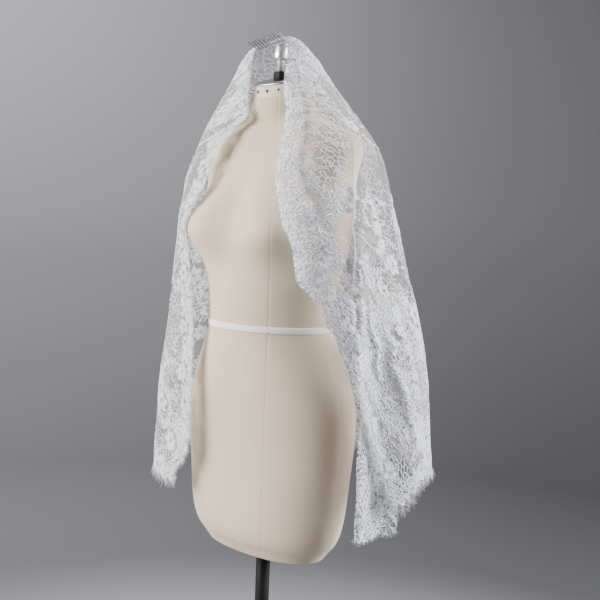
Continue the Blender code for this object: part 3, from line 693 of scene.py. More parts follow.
def maths(tree, operation, a, b=None, c=None, clamp=False):
    n = node(tree, "ShaderNodeMath", operation=operation, use_clamp=clamp)
    for k, value in enumerate((a, b, c)):
        if value is None:
            continue
        if isinstance(value, (int, float)):
            n.inputs[k].default_value = value
        else:
            tree.links.new(value, n.inputs[k])
    return n.outputs[0]


def spread(tree, value, low, high, to_low=0.0, to_high=1.0):
    """Smooth step of a value between two limits."""
    n = node(tree, "ShaderNodeMapRange", interpolation_type="SMOOTHSTEP", i1=low, i2=high, i3=to_low, i4=to_high)
    tree.links.new(value, n.inputs[0])
    return n.outputs[0]


def blend_colours(tree, share, a, b):
    n = node(tree, "ShaderNodeMix", data_type="RGBA")
    for socket, value in ((n.inputs["Factor"], share), (n.inputs[6], a), (n.inputs[7], b)):
        if isinstance(value, tuple):
            socket.default_value = (*value[:3], 1.0)
        elif isinstance(value, (int, float)):
            socket.default_value = value
        else:
            tree.links.new(value, socket)
    return n.outputs[2]


def bump(tree, shader, height, distance, strength=1.0):
    n = node(tree, "ShaderNodeBump", i0=strength, i1=distance)
    tree.links.new(height, n.inputs["Height"])
    tree.links.new(n.outputs[0], shader.inputs["Normal"])


def noise(tree, place, scale, detail=2.0, roughness=0.5):
    n = node(tree, "ShaderNodeTexNoise", i2=scale, i3=detail, i4=roughness)
    tree.links.new(place, n.inputs["Vector"])
    return n.outputs["Fac"]


def cells(tree, place, scale, feature="DISTANCE_TO_EDGE", output="Distance"):
    n = node(tree, "ShaderNodeTexVoronoi", feature=feature, voronoi_dimensions="2D")
    n.inputs["Scale"].default_value = scale
    tree.links.new(place, n.inputs["Vector"])
    return n.outputs[output]


def guide(tree, name, output="Fac"):
    n = node(tree, "ShaderNodeAttribute", attribute_name=name)
    return n.outputs[output]


def shaken(tree, place, scale, amount):
    """A place moved a little by noise, so that lines on it wander."""
    n = node(tree, "ShaderNodeTexNoise", i2=scale, i3=1.0)
    tree.links.new(place, n.inputs["Vector"])
    centred = node(tree, "ShaderNodeVectorMath", operation="SUBTRACT")
    tree.links.new(n.outputs["Color"], centred.inputs[0])
    centred.inputs[1].default_value = (0.5, 0.5, 0.5)
    scaled = node(tree, "ShaderNodeVectorMath", operation="SCALE")
    scaled.inputs["Scale"].default_value = amount
    tree.links.new(centred.outputs[0], scaled.inputs[0])
    moved = node(tree, "ShaderNodeVectorMath", operation="ADD")
    tree.links.new(place, moved.inputs[0])
    tree.links.new(scaled.outputs[0], moved.inputs[1])
    return moved.outputs[0]


def lace_finish(veil, name, gaps, relief):
    """Fine net that carries a thready pattern where the cloth's guide says so, with a darker, bluer painted shade in
    the gaps between its threads and a painted highlight along the sharpest creases.
    """
    mat, tree, shader = finish_named(name)
    place = guide(tree, "cloth", "Vector")
    full = guide(tree, "fullness")
    net = spread(tree, cells(tree, place, 1.0 / veil.net_mesh), 0.05, 0.13, 1.0, 0.0)
    wander = shaken(tree, place, 160.0, 0.0045)
    curl = maths(tree, "ABSOLUTE", maths(tree, "SUBTRACT", noise(tree, wander, 150.0, 1.0), 0.5))
    curl = spread(tree, curl, 0.02, 0.085, 1.0, 0.0)
    vein = spread(tree, cells(tree, wander, 1.0 / 0.0078), 0.08, 0.19, 1.0, 0.0)
    fern = spread(tree, cells(tree, wander, 1.0 / 0.0026), 0.10, 0.26, 1.0, 0.0)
    thread = maths(tree, "MAXIMUM", maths(tree, "MAXIMUM", vein, curl), maths(tree, "MULTIPLY", fern, 0.35))
    patchy = noise(tree, place, 230.0, 2.0)
    carried = maths(tree, "ADD", full, maths(tree, "MULTIPLY", maths(tree, "SUBTRACT", patchy, 0.5), 0.34))
    carried = spread(tree, carried, 0.58, 0.76)
    hole = spread(tree, cells(tree, wander, 1.0 / 0.0135, "F1"), 0.20, 0.34, 1.0, 0.0)
    hole = maths(tree, "MULTIPLY", hole, spread(tree, noise(tree, place, 30.0, 1.0), 0.36, 0.50))
    bare = maths(tree, "MULTIPLY_ADD", net, 0.36, veil.net_cover)
    dense = maths(tree, "MULTIPLY_ADD", thread, 0.97 - veil.lace_cover, veil.lace_cover)
    dense = maths(tree, "SUBTRACT", dense, maths(tree, "MULTIPLY", hole, 0.60), clamp=True)
    pinch = guide(tree, "pinch")
    cover = node(tree, "ShaderNodeMix", data_type="FLOAT")
    tree.links.new(carried, cover.inputs[0])
    tree.links.new(bare, cover.inputs[2])
    tree.links.new(dense, cover.inputs[3])
    tree.links.new(maths(tree, "MAXIMUM", cover.outputs[0], pinch), shader.inputs["Alpha"])
    lit = maths(tree, "MULTIPLY", carried, maths(tree, "SUBTRACT", thread, maths(tree, "MULTIPLY", hole, 0.7), clamp=True))
    # Painted highlight: along the sharpest creases the net takes the threads' bright colour
    lit = maths(tree, "MAXIMUM", lit, pinch)
    # Painted shade: the gaps and holes between the threads take a darker, bluer colour than the threads
    gap = tuple(c * k for c, k in zip(veil.lace_colour, gaps))
    bright = blend_colours(tree, spread(tree, carried, 0.0, 0.4), tuple(c * 0.76 for c in veil.lace_colour), gap)
    colour = blend_colours(tree, lit, bright, tuple(min(1.0, c * 1.05) for c in veil.lace_colour))
    tree.links.new(colour, shader.inputs["Base Color"])
    shader.inputs["Roughness"].default_value = 0.72
    shader.inputs["Sheen Weight"].default_value = 0.3
    shader.inputs["Sheen Roughness"].default_value = 0.4
    shader.inputs["Specular IOR Level"].default_value = 0.25
    bump(tree, shader, lit, relief, 0.8)
    return mat


def thread_finish(veil, name, gloss):
    """Corded thread, a little brighter than the net."""
    mat, tree, shader = finish_named(name)
    place = node(tree, "ShaderNodeTexCoord").outputs["Object"]
    twist = noise(tree, place, 900.0, 1.0)
    low = tuple(c * 0.95 for c in veil.lace_colour)
    colour = blend_colours(tree, twist, low, tuple(min(1.0, c * 1.04) for c in veil.lace_colour))
    tree.links.new(colour, shader.inputs["Base Color"])
    shader.inputs["Roughness"].default_value = gloss
    shader.inputs["Sheen Weight"].default_value = 0.3
    shader.inputs["Specular IOR Level"].default_value = 0.3
    bump(tree, shader, twist, 0.0002, 0.5)
    return mat


def worked_finish(veil):
    """Cells worked full of close thread, with the finest gaps left between the threads and a light painted shade in
    them.
    """
    mat, tree, shader = finish_named("worked_cells")
    place = guide(tree, "cloth", "Vector")
    thread = spread(tree, cells(tree, shaken(tree, place, 300.0, 0.002), 1.0 / 0.0019), 0.06, 0.24, 1.0, 0.0)
    tree.links.new(maths(tree, "MULTIPLY_ADD", thread, 0.35, 0.62), shader.inputs["Alpha"])
    # Painted shade: the gaps between the threads are a little darker than the threads
    tone = blend_colours(tree, thread, tuple(c * 0.93 for c in veil.lace_colour), tuple(min(1.0, c * 1.06) for c in veil.lace_colour))
    tree.links.new(tone, shader.inputs["Base Color"])
    shader.inputs["Roughness"].default_value = 0.6
    shader.inputs["Sheen Weight"].default_value = 0.25
    shader.inputs["Specular IOR Level"].default_value = 0.3
    bump(tree, shader, thread, 0.0003, 0.6)
    return mat


def linen_finish(form, name, colour, seam=True):
    """Tight plain linen: crossed threads, slubs and faint soiling."""
    mat, tree, shader = finish_named(name)
    place = node(tree, "ShaderNodeTexCoord").outputs["Object"]
    split = node(tree, "ShaderNodeSeparateXYZ")
    tree.links.new(place, split.inputs[0])
    pitch = 2.0 * math.pi / form.weave
    upright = maths(tree, "SINE", maths(tree, "MULTIPLY", split.outputs[2], pitch))
    side = maths(tree, "SUBTRACT", split.outputs[0], split.outputs[1])
    across = maths(tree, "SINE", maths(tree, "MULTIPLY", side, pitch))
    weave = maths(tree, "MULTIPLY", upright, across)
    slub = noise(tree, place, 420.0, 2.0)
    cloud = noise(tree, place, 5.0, 3.0)
    fibre = maths(tree, "MULTIPLY_ADD", weave, 0.15, slub)
    dark, light = tuple(c * 0.90 for c in colour), tuple(min(1.0, c * 1.04) for c in colour)
    tone = blend_colours(tree, spread(tree, cloud, 0.30, 0.72), dark, light)
    tone = blend_colours(tree, maths(tree, "MULTIPLY", slub, 0.22), tone, tuple(c * 0.82 for c in colour))
    if seam:
        groove = spread(tree, guide(tree, "seam"), 0.0, 0.0011, 1.0, 0.0)
        tone = blend_colours(tree, maths(tree, "MULTIPLY", groove, 0.12), tone, tuple(c * 0.5 for c in colour))
    tree.links.new(tone, shader.inputs["Base Color"])
    shader.inputs["Roughness"].default_value = 0.86
    shader.inputs["Sheen Weight"].default_value = 0.12
    shader.inputs["Specular IOR Level"].default_value = 0.2
    bump(tree, shader, fibre, 0.0003, 0.45)
    return mat


def metal_finish(name, colour, roughness, metallic, wear, specular=0.5):
    """Metal or coated metal with fine wear in its gloss."""
    mat, tree, shader = finish_named(name)
    place = node(tree, "ShaderNodeTexCoord").outputs["Object"]
    rub = noise(tree, place, 38.0, 4.0, 0.65)
    grain = noise(tree, place, 800.0, 2.0)
    tone = blend_colours(tree, spread(tree, rub, 0.35, 0.7), tuple(colour), tuple(c * wear for c in colour))
    tree.links.new(tone, shader.inputs["Base Color"])
    tree.links.new(spread(tree, rub, 0.2, 0.8, roughness * 0.8, roughness * 1.3), shader.inputs["Roughness"])
    shader.inputs["Metallic"].default_value = metallic
    shader.inputs["Specular IOR Level"].default_value = specular
    bump(tree, shader, grain, 0.0002, 0.25)
    return mat


def stage_finish(stage):
    """Pale floor near the stand that deepens into a grey sweep, with a painted shade that darkens the sweep towards
    the right and towards its foot.
    """
    mat, tree, shader = finish_named("studio_sweep")
    place = node(tree, "ShaderNodeTexCoord").outputs["Object"]
    split = node(tree, "ShaderNodeSeparateXYZ")
    tree.links.new(place, split.inputs[0])
    flat = node(tree, "ShaderNodeCombineXYZ")
    tree.links.new(split.outputs[0], flat.inputs[0])
    tree.links.new(split.outputs[1], flat.inputs[1])
    length = node(tree, "ShaderNodeVectorMath", operation="LENGTH")
    tree.links.new(flat.outputs[0], length.inputs[0])
    far = spread(tree, length.outputs["Value"], 0.50, 1.75)
    side = maths(tree, "ADD", split.outputs[0], split.outputs[1])
    # Painted shade: the sweep darkens towards the right of the view and towards its foot
    painted_shade = maths(tree, "MULTIPLY", spread(tree, side, -0.6, 2.0, 1.0, 0.78), spread(tree, split.outputs[2], 0.0, 1.3, 0.62, 1.0))
    wall = blend_colours(tree, painted_shade, (0.0, 0.0, 0.0), tuple(stage.wall_colour))
    tone = blend_colours(tree, far, tuple(stage.floor_colour), wall)
    tree.links.new(tone, shader.inputs["Base Color"])
    shader.inputs["Roughness"].default_value = 0.9
    shader.inputs["Specular IOR Level"].default_value = 0.1
    return mat


# Geometry node trees

def new_tree(name, sockets):
    tree = bpy.data.node_groups.new(name, "GeometryNodeTree")
    face = tree.interface
    face.new_socket("Geometry", in_out="INPUT", socket_type="NodeSocketGeometry")
    for label, kind, default in sockets:
        socket = face.new_socket(label, in_out="INPUT", socket_type="NodeSocket" + kind)
        if default is not None:
            socket.default_value = default
    face.new_socket("Geometry", in_out="OUTPUT", socket_type="NodeSocketGeometry")
    return tree, tree.nodes.new("NodeGroupInput"), tree.nodes.new("NodeGroupOutput")


def made_plain(ob, tree, values, name):
    """Runs a tree on an object and keeps the result as a plain mesh."""
    modifier = ob.modifiers.new("build", "NODES")
    modifier.node_group = tree
    for item in tree.interface.items_tree:
        if item.item_type == "SOCKET" and item.in_out == "INPUT" and item.name in values:
            modifier[item.identifier] = values[item.name]
    ob.update_tag()
    bpy.context.view_layer.update()
    seen = ob.evaluated_get(bpy.context.evaluated_depsgraph_get())
    mesh = bpy.data.meshes.new_from_object(seen)
    ob.modifiers.remove(modifier)
    bpy.data.objects.remove(ob, do_unlink=True)
    mesh.name = name
    made = bpy.data.objects.new(name, mesh)
    bpy.context.scene.collection.objects.link(made)
    return made


def strand_tree(name, sides=3):
    """Curved tapering strands on points: each point says where its strand aims and how long it is."""
    tree, given, out = new_tree(name, [
        ("Width", "Float", 0.0004), ("Bend", "Float", 0.18), ("Seed", "Int", 1), ("Finish", "Material", None),
    ])
    link, add = tree.links.new, tree.nodes.new
    bow = add("GeometryNodeCurveQuadraticBezier")
    bow.inputs["Resolution"].default_value = 3
    bow.inputs["Start"].default_value = (0.0, 0.0, 0.0)
    bow.inputs["End"].default_value = (0.0, 0.0, 1.0)
    middle = add("ShaderNodeCombineXYZ")
    middle.inputs[2].default_value = 0.6
    link(given.outputs["Bend"], middle.inputs[0])
    link(middle.outputs[0], bow.inputs["Middle"])
    ring = add("GeometryNodeCurvePrimitiveCircle")
    ring.inputs["Resolution"].default_value = sides
    ring.inputs["Radius"].default_value = 1.0
    along = add("GeometryNodeSplineParameter")
    thin = add("ShaderNodeMapRange")
    thin.inputs[1].default_value, thin.inputs[2].default_value = 0.0, 1.0
    thin.inputs[3].default_value, thin.inputs[4].default_value = 1.0, 0.25
    link(along.outputs["Factor"], thin.inputs[0])
    radius = add("GeometryNodeSetCurveRadius")
    link(bow.outputs[0], radius.inputs[0])
    link(thin.outputs[0], radius.inputs["Radius"])
    skin = add("GeometryNodeCurveToMesh")
    skin.inputs["Fill Caps"].default_value = True
    link(radius.outputs[0], skin.inputs[0])
    link(ring.outputs[0], skin.inputs["Profile Curve"])
    if "Scale" in skin.inputs:
        link(thin.outputs[0], skin.inputs["Scale"])
    flat = add("GeometryNodeTransform")
    size = add("ShaderNodeCombineXYZ")
    link(given.outputs["Width"], size.inputs[0])
    link(given.outputs["Width"], size.inputs[1])
    size.inputs[2].default_value = 1.0
    aim = add("GeometryNodeInputNamedAttribute")
    aim.data_type = "FLOAT_VECTOR"
    aim.inputs["Name"].default_value = "aim"
    long = add("GeometryNodeInputNamedAttribute")
    long.inputs["Name"].default_value = "long"
    turn = add("FunctionNodeAlignRotationToVector")
    turn.axis = "Z"
    link(aim.outputs[0], turn.inputs["Vector"])
    roll = add("FunctionNodeRandomValue")
    roll.data_type = "FLOAT"
    roll.inputs[2].default_value, roll.inputs[3].default_value = 0.0, 2.0 * math.pi
    link(given.outputs["Seed"], roll.inputs["Seed"])
    spin = add("FunctionNodeAxisAngleToRotation")
    spin.inputs["Axis"].default_value = (0.0, 0.0, 1.0)
    link(roll.outputs[1], spin.inputs["Angle"])
    both = add("FunctionNodeRotateRotation")
    both.rotation_space = "LOCAL"
    link(turn.outputs[0], both.inputs[0])
    link(spin.outputs[0], both.inputs[1])
    place = add("GeometryNodeInstanceOnPoints")
    points = add("GeometryNodeMeshToPoints")
    link(given.outputs["Geometry"], points.inputs[0])
    link(points.outputs[0], place.inputs["Points"])
    link(skin.outputs[0], flat.inputs[0])
    link(place.inputs["Instance"].links and flat.outputs[0] or flat.outputs[0], place.inputs["Instance"])
    link(both.outputs[0], place.inputs["Rotation"])
    stretch = add("ShaderNodeCombineXYZ")
    stretch.inputs[0].default_value = stretch.inputs[1].default_value = 1.0
    link(long.outputs[0], stretch.inputs[2])
    link(stretch.outputs[0], place.inputs["Scale"])
    link(size.outputs[0], flat.inputs["Scale"])
    real = add("GeometryNodeRealizeInstances")
    paint = add("GeometryNodeSetMaterial")
    link(place.outputs[0], real.inputs[0])
    link(real.outputs[0], paint.inputs[0])
    link(given.outputs["Finish"], paint.inputs["Material"])
    smooth = add("GeometryNodeSetShadeSmooth")
    link(paint.outputs[0], smooth.inputs[0])
    link(smooth.outputs[0], out.inputs[0])
    return tree


# Strands, cords and wires

def tubes(name, lines, radii, finish, ups=None, sides=3, tip=0.45, flatten=1.0):
    """Closed tubes of few sides along many lines that have the same number of points."""
    lines = np.asarray(lines, float)
    count, points = lines.shape[:2]
    along = np.gradient(lines, axis=1)
    along /= np.linalg.norm(along, axis=2, keepdims=True) + 1e-12
    if ups is None:
        ups = np.where(np.abs(along[..., 2:3]) > 0.9, np.array([1.0, 0.0, 0.0]), np.array([0.0, 0.0, 1.0]))
    side = np.cross(along, ups)
    side /= np.linalg.norm(side, axis=2, keepdims=True) + 1e-12
    up = np.cross(side, along)
    thin = np.linspace(1.0, tip, points)[None, :, None]
    size = np.asarray(radii, float).reshape(count, -1)[:, :, None] * thin
    rings = []
    for k in range(sides):
        q = 2.0 * math.pi * (k + 0.25 * (sides == 3)) / sides + math.pi / 6.0
        rings.append(lines + side * np.cos(q) * size + up * np.sin(q) * size * flatten)
    verts = np.stack(rings, axis=2).reshape(-1, 3)
    base = (np.arange(count) * points * sides)[:, None]
    faces = []
    for j in range(points - 1):
        for k in range(sides):
            a, b = j * sides + k, j * sides + (k + 1) % sides
            faces.append(base + np.array([a, a + sides, b + sides, b]))
    quads = np.stack(faces, 1).reshape(-1, 4)
    ends = [base + np.arange(sides), base + (points - 1) * sides + np.arange(sides)[::-1]]
    caps = np.concatenate(ends).reshape(-1, sides)
    return piece(name, verts, quads.tolist() + caps.tolist(), finish)


def face_out(ob):
    """Turns closed shells so that their faces point outwards."""
    shape = bmesh.new()
    shape.from_mesh(ob.data)
    bmesh.ops.recalc_face_normals(shape, faces=shape.faces[:])
    shape.to_mesh(ob.data)
    shape.free()
    ob.data.update()
    return ob


def merged(name, obs):
    """One object from several, each face with its own finish."""
    shape, finishes = bmesh.new(), []
    for ob in obs:
        start = len(shape.faces)
        shape.from_mesh(ob.data)
        shape.faces.ensure_lookup_table()
        at = []
        for mat in ob.data.materials:
            if mat not in finishes:
                finishes.append(mat)
            at.append(finishes.index(mat))
        for face in shape.faces[start:]:
            face.material_index = at[face.material_index]
    mesh = bpy.data.meshes.new(name)
    shape.to_mesh(mesh)
    shape.free()
    for mat in finishes:
        mesh.materials.append(mat)
    for ob in obs:
        bpy.data.objects.remove(ob, do_unlink=True)
    made = bpy.data.objects.new(name, mesh)
    bpy.context.scene.collection.objects.link(made)
    return made


def cell_corners(width, drop, pitch, shake, rng):
    """The six flat corners of each uneven cell of the net, top one first."""
    rows, cols = int(drop / (pitch * 0.75)) + 2, int(width / (pitch * 0.866)) + 2
    i, j = np.meshgrid(np.arange(cols), np.arange(rows))
    middle = np.stack([(i + 0.5 * (j % 2)) * pitch * 0.866 - width / 2.0, j * pitch * 0.75], -1)
    top, upper = middle + np.array([0.0, -0.5]) * pitch, middle + np.array([0.433, -0.25]) * pitch
    top += rng.uniform(-shake, shake, top.shape) * pitch
    upper += rng.uniform(-shake, shake, upper.shape) * pitch
    here, odd = slice(0, rows - 1), (j % 2)[:-1, 1:-1]
    below_right = np.take_along_axis(top[1:], (i[:-1, 1:-1] + odd)[..., None], 1)
    below_left = np.take_along_axis(top[1:], (i[:-1, 1:-1] - 1 + odd)[..., None], 1)
    below = np.take_along_axis(upper[1:], (i[:-1, 1:-1] - 1 + odd)[..., None], 1)
    six = [top[here, 1:-1], upper[here, 1:-1], below_right, below, below_left, upper[here, :-2]]
    return np.stack(six, 2).reshape(-1, 6, 2)


def laid_on(cloth, flat_points, lift):
    """Flat points set on the cloth, lifted off its face; also its outward direction there."""
    u, v = cloth.share_of(flat_points[..., 0], flat_points[..., 1])
    point, normal = cloth.sample(u, v)
    return point + normal * lift, normal, u, v


def coral_sprig(rng, start, heading, size, lines, weights, depth=0):
    """A branching twig of lace drawn in flat coordinates, each branch of four points."""
    points, here, turn = [np.array(start)], np.array(start, float), rng.uniform(-0.5, 0.5)
    for k in range(3):
        heading = heading + turn * 0.55 + rng.uniform(-0.22, 0.22)
        here = here + np.array([math.cos(heading), math.sin(heading)]) * size / 3.0
        points.append(here.copy())
        if depth < 2 and k < 2:
            side = 1.0 if rng.random() < 0.5 else -1.0
            fork = heading + side * rng.uniform(0.55, 1.0)
            coral_sprig(rng, here, fork, size * rng.uniform(0.50, 0.72), lines, weights, depth + 1)
    lines.append(points)
    weights.append((0.00095, 0.00075, 0.00060)[depth])


def cell_pattern(cloth, size, keep, filled, rng):
    """Threads round the chosen cells as lines of three flat points, and the cells that are worked full."""
    six = cell_corners(cloth.widths.max(), cloth.drops[-1], size, 0.23, rng)
    middle = six.mean(1)
    local = np.interp(np.interp(middle[:, 1], cloth.drops, cloth.vs), cloth.vs, cloth.widths)
    inside = (np.abs(six[..., 0]).max(1) < local / 2.0 - 0.001) & (six[..., 1].max(1) < cloth.drops[-1] - 0.001)
    inside &= six[..., 1].min(1) > 0.001
    chosen = inside & keep(middle)
    a = six[chosen][:, [0, 1, 5]].reshape(-1, 2)
    b = six[chosen][:, [1, 2, 0]].reshape(-1, 2)
    across = (b - a)[:, ::-1] * np.array([1.0, -1.0])
    bow = rng.uniform(-0.22, 0.22, (len(a), 1))
    lines = np.stack([a, (a + b) / 2.0 + across * bow, b], 1)
    thick = np.where(rng.random(len(a)) < 0.5, 0.00098, 0.00070)
    return lines, thick, six[chosen & filled(middle)]


def cell_plates(name, cloth, six, finish):
    """Cells worked full of thread, each a shallow six-sided plate a little smaller than its cell."""
    six = six.mean(1, keepdims=True) + (six - six.mean(1, keepdims=True)) * 0.70
    points, normals, u, v = laid_on(cloth, np.concatenate([six, six.mean(1, keepdims=True)], 1), 0.00035)
    count = len(six)
    faces = [(7 * k + q, 7 * k + (q + 1) % 6, 7 * k + 6) for k in range(count) for q in range(6)]
    a, b, c = points[0, 0], points[0, 1], points[0, 6]
    if np.dot(np.cross(b - a, c - a), normals[0, 6]) < 0.0:
        faces = [tuple(reversed(f)) for f in faces]
    ob = piece(name, points.reshape(-1, 3), faces, finish)
    flat = np.concatenate([six, six.mean(1, keepdims=True)], 1)
    put_values(ob, "cloth", np.concatenate([flat, 0.0 * flat[..., :1]], -1).reshape(-1, 3))
    return ob


def strand_points(name, places, aims, lengths):
    """Bare vertices that carry where each fringe strand aims and how long it is."""
    ob = piece(name, places, [], smooth=False)
    put_values(ob, "aim", aims)
    put_values(ob, "long", lengths)
    return ob


def fringe_row(place, normal, outward, along, rng, length, distance, pitch=SCALLOP_PITCH, fan=0.32):
    """Two strands at each point of an edge, fanned about the middle of its scallop."""
    phase = (distance / pitch) % 1.0 - 0.5
    places, aims, lengths = [], [], []
    for _ in range(2):
        lean = fan * np.sin(phase * math.pi) * 1.2 + rng.normal(0.0, 0.11, len(phase))
        lift = rng.normal(0.06, 0.13, len(phase))
        aim = outward + along * lean[:, None] + normal * lift[:, None]
        aim /= np.linalg.norm(aim, axis=1, keepdims=True)
        places.append(place + along * rng.uniform(-0.0006, 0.0006, (len(phase), 1)) - outward * 0.006)
        aims.append(aim)
        lengths.append(0.006 + length * rng.uniform(0.66, 1.08, len(phase)))
    return np.concatenate(places), np.concatenate(aims), np.concatenate(lengths)


def edge_frame(row, normals, inner):
    """Along and outward directions of an edge row, from the row just inside it."""
    along = np.gradient(row, axis=0)
    along /= np.linalg.norm(along, axis=1, keepdims=True) + 1e-12
    outward = row - inner
    outward -= along * np.sum(outward * along, axis=1, keepdims=True)
    outward /= np.linalg.norm(outward, axis=1, keepdims=True) + 1e-12
    return along, outward


def even_steps(row, *others, step=0.0016):
    """Resamples an edge row, and rows beside it, at even steps along the edge."""
    long = np.concatenate([[0.0], np.cumsum(np.linalg.norm(np.diff(row, axis=0), axis=1))])
    at = np.arange(0.0, long[-1], step)
    return at, [np.stack([np.interp(at, long, r[:, k]) for k in range(3)], 1) for r in (row, *others)]


# Cloth pieces

def kept_off_body(push, grid):
    """Keeps creases that sink from reaching the torso."""
    x, y, z = grid[..., 0], grid[..., 1], grid[..., 2]
    room = np.hypot(x, y) - body_radius(np.arctan2(y, x), z) - 0.0008
    room = np.where(z < 1.39, np.clip(room, 0.0, 1.0), 0.004)
    return np.maximum(push, -room)


def veil_place(u, v):
    """The veil with its two front edges lightly scalloped."""
    fall = v * 0.84
    left = 0.0034 * (1.0 - np.abs(np.sin(math.pi * fall / SCALLOP_PITCH))) * smoothstep((v - 0.55) / 0.1)
    right = 0.0040 * (1.0 - np.abs(np.sin(math.pi * fall / SCALLOP_PITCH))) * smoothstep((v - 0.22) / 0.1)
    return cloth_point(np.clip(left + u * (1.0 - left - right), 0.0, 1.0), v)


def veil_push(u, v, grid):
    push = crease_push(u, grid[..., 2]) * smoothstep(v / 0.16)
    gather = 0.0011 * np.sin(2.0 * math.pi * u * 58.0 + 1.5 * np.sin(11.0 * u))
    push = push + gather * smoothstep(1.0 - v / 0.26) * smoothstep(v / 0.02)
    return kept_off_body(push, grid)


def lapel_place(w, t):
    """The turned border, with the rounded fold that joins it to the panel behind."""
    fold = np.clip(-w / 0.12, 0.0, 1.0)
    point = turned_border_point(np.clip(w, 0.0, 1.0), t)
    z = TURNED[0][0] + (TURNED[-1][0] - TURNED[0][0]) * t
    start = np.interp(z, EDGE_Z, EDGE_START)
    round_by = np.sin(fold * math.pi)
    back = slip(start - 0.010 - 0.0011 / 0.13 * round_by, z, TURNED_STAND * 0.5 * (1.0 + np.cos(fold * math.pi)))
    return np.where((w < 0.0)[..., None], back, point)


def lapel_push(w, t, grid):
    """Small ruffles that grow towards the free edge of the turned border."""
    z = grid[..., 2]
    low = smoothstep((1.30 - z) / 0.10)
    ruffle = np.sin(2.0 * math.pi * z / 0.031 + 2.6 * w + 1.1 * np.sin(60.0 * z)) * np.sin(2.0 * math.pi * z / 0.083)
    pleat = np.sin(2.0 * math.pi * z / 0.013 + 5.0 * w)
    grow = np.clip(w, 0.0, 1.0) ** 1.5
    return grow * ((0.0012 + 0.0030 * low) * (ruffle + 1.0) * 0.6 + 0.0006 * low * (pleat + 1.0))


def veil_columns():
    return np.concatenate([np.linspace(0.0, 0.34, 176)[:-1], np.linspace(0.34, 0.84, 96)[:-1], np.linspace(0.84, 1.0, 56)])


def near_lace(cloth, own_edge, lift=0.0):
    """Pattern guides of a small cloth that is border all over."""
    a, t = cloth.flat()
    ragged = lattice_noise(a / 0.009, t / 0.009, 8) * 0.6 + lattice_noise(a / 0.004, t / 0.004, 9) * 0.4
    return np.clip(1.12 - 0.62 * ragged + lift, 0.0, 1.0), own_edge


SHEETS = {}


def sheets():
    """The three cloths with their pattern guides, worked out once."""
    if SHEETS:
        return SHEETS
    down = np.concatenate([np.linspace(0.0, 0.18, 40)[:-1], np.linspace(0.18, 1.0, 196)[:-1], np.linspace(1.0, 1.12, 22)])
    veil = Cloth(veil_place, veil_columns(), down, veil_push)
    a, t = veil.flat()
    edge = edge_distance(veil)
    u, v = np.meshgrid(veil.us, veil.vs)
    full = lace_fullness(u, veil.at_grid[..., 2], a, t, edge)
    crown = smoothstep((veil.at_grid[..., 2] - 1.415) / 0.03) * 0.64
    full = np.maximum(full, crown)
    settings = bpy.context.scene.veil_settings
    rng = np.random.default_rng(settings.seed + 11)
    spots = flower_spots(veil, full, rng, settings.flower_count, 3.3 * settings.flower_size)
    spots = [(*spot, settings.flower_size * rng.uniform(0.8, 1.2)) for spot in spots]
    for x, y, reach in spots:
        clear = smoothstep((1.16 * reach - np.hypot(a - x, t - y)) / 0.005)
        full = full * (1.0 - clear) + np.minimum(full, 0.12) * clear
    lapel = Cloth(lapel_place, np.concatenate([np.linspace(-0.12, 0.0, 6)[:-1], np.linspace(0.0, 1.0, 48)]),
                  np.linspace(0.0, 1.0, 260), lapel_push)
    a, t = lapel.flat()
    lapel_full, lapel_edge = near_lace(lapel, lapel.widths[:, None] / 2.0 - a)
    lap = Cloth(lap_place, np.linspace(0.0, 1.0, 90), np.linspace(0.0, 1.0, 230))
    lap_full, lap_edge = near_lace(lap, edge_distance(lap, sides=(False, False)), 0.04)
    SHEETS.update(
        spots=spots, veil=veil, veil_full=full, veil_edge=edge, lapel=lapel, lapel_full=lapel_full, lapel_edge=lapel_edge,
        lap=lap, lap_full=lap_full, lap_edge=lap_edge,
    )
    return SHEETS


def lap_place(w, t):
    return lap_point(w, t)


def field_at(cloth, field, u, v):
    """A grid field read at shares (u, v)."""
    x = np.clip(np.interp(u, cloth.us, np.arange(len(cloth.us))), 0, len(cloth.us) - 1).round().astype(int)
    y = np.clip(np.interp(v, cloth.vs, np.arange(len(cloth.vs))), 0, len(cloth.vs) - 1).round().astype(int)
    return field[y, x]


def leaf_outline(start, heading, long, wide, points):
    """Flat outline of a leaf from its stalk round its tip and back."""
    share = np.linspace(0.0, 1.0, points)
    out = 1.0 - np.abs(2.0 * share - 1.0)
    side = np.sign(0.5 - share) * np.sin(math.pi * out ** 0.85) * wide / 2.0
    c, s = math.cos(heading), math.sin(heading)
    x, y = out * long, side
    return np.stack([start[0] + x * c - y * s, start[1] + x * s + y * c], -1)


def flower_spots(cloth, full, rng, wanted, apart):
    """Flat middles for flowers, well inside the pattern and clear of each other."""
    a, t = cloth.flat()
    spots = []
    for _ in range(6000):
        j, i = rng.integers(30, full.shape[0] - 22), rng.integers(10, full.shape[1] - 10)
        here = np.array([a[j, i], t[j, i]])
        if full[j, i] < 0.8 or abs(here[0]) > cloth.widths[j] / 2.0 - 0.026:
            continue
        if all(np.hypot(*(here - other)) > apart for other in spots):
            spots.append(here)
        if len(spots) == wanted:
            break
    return spots


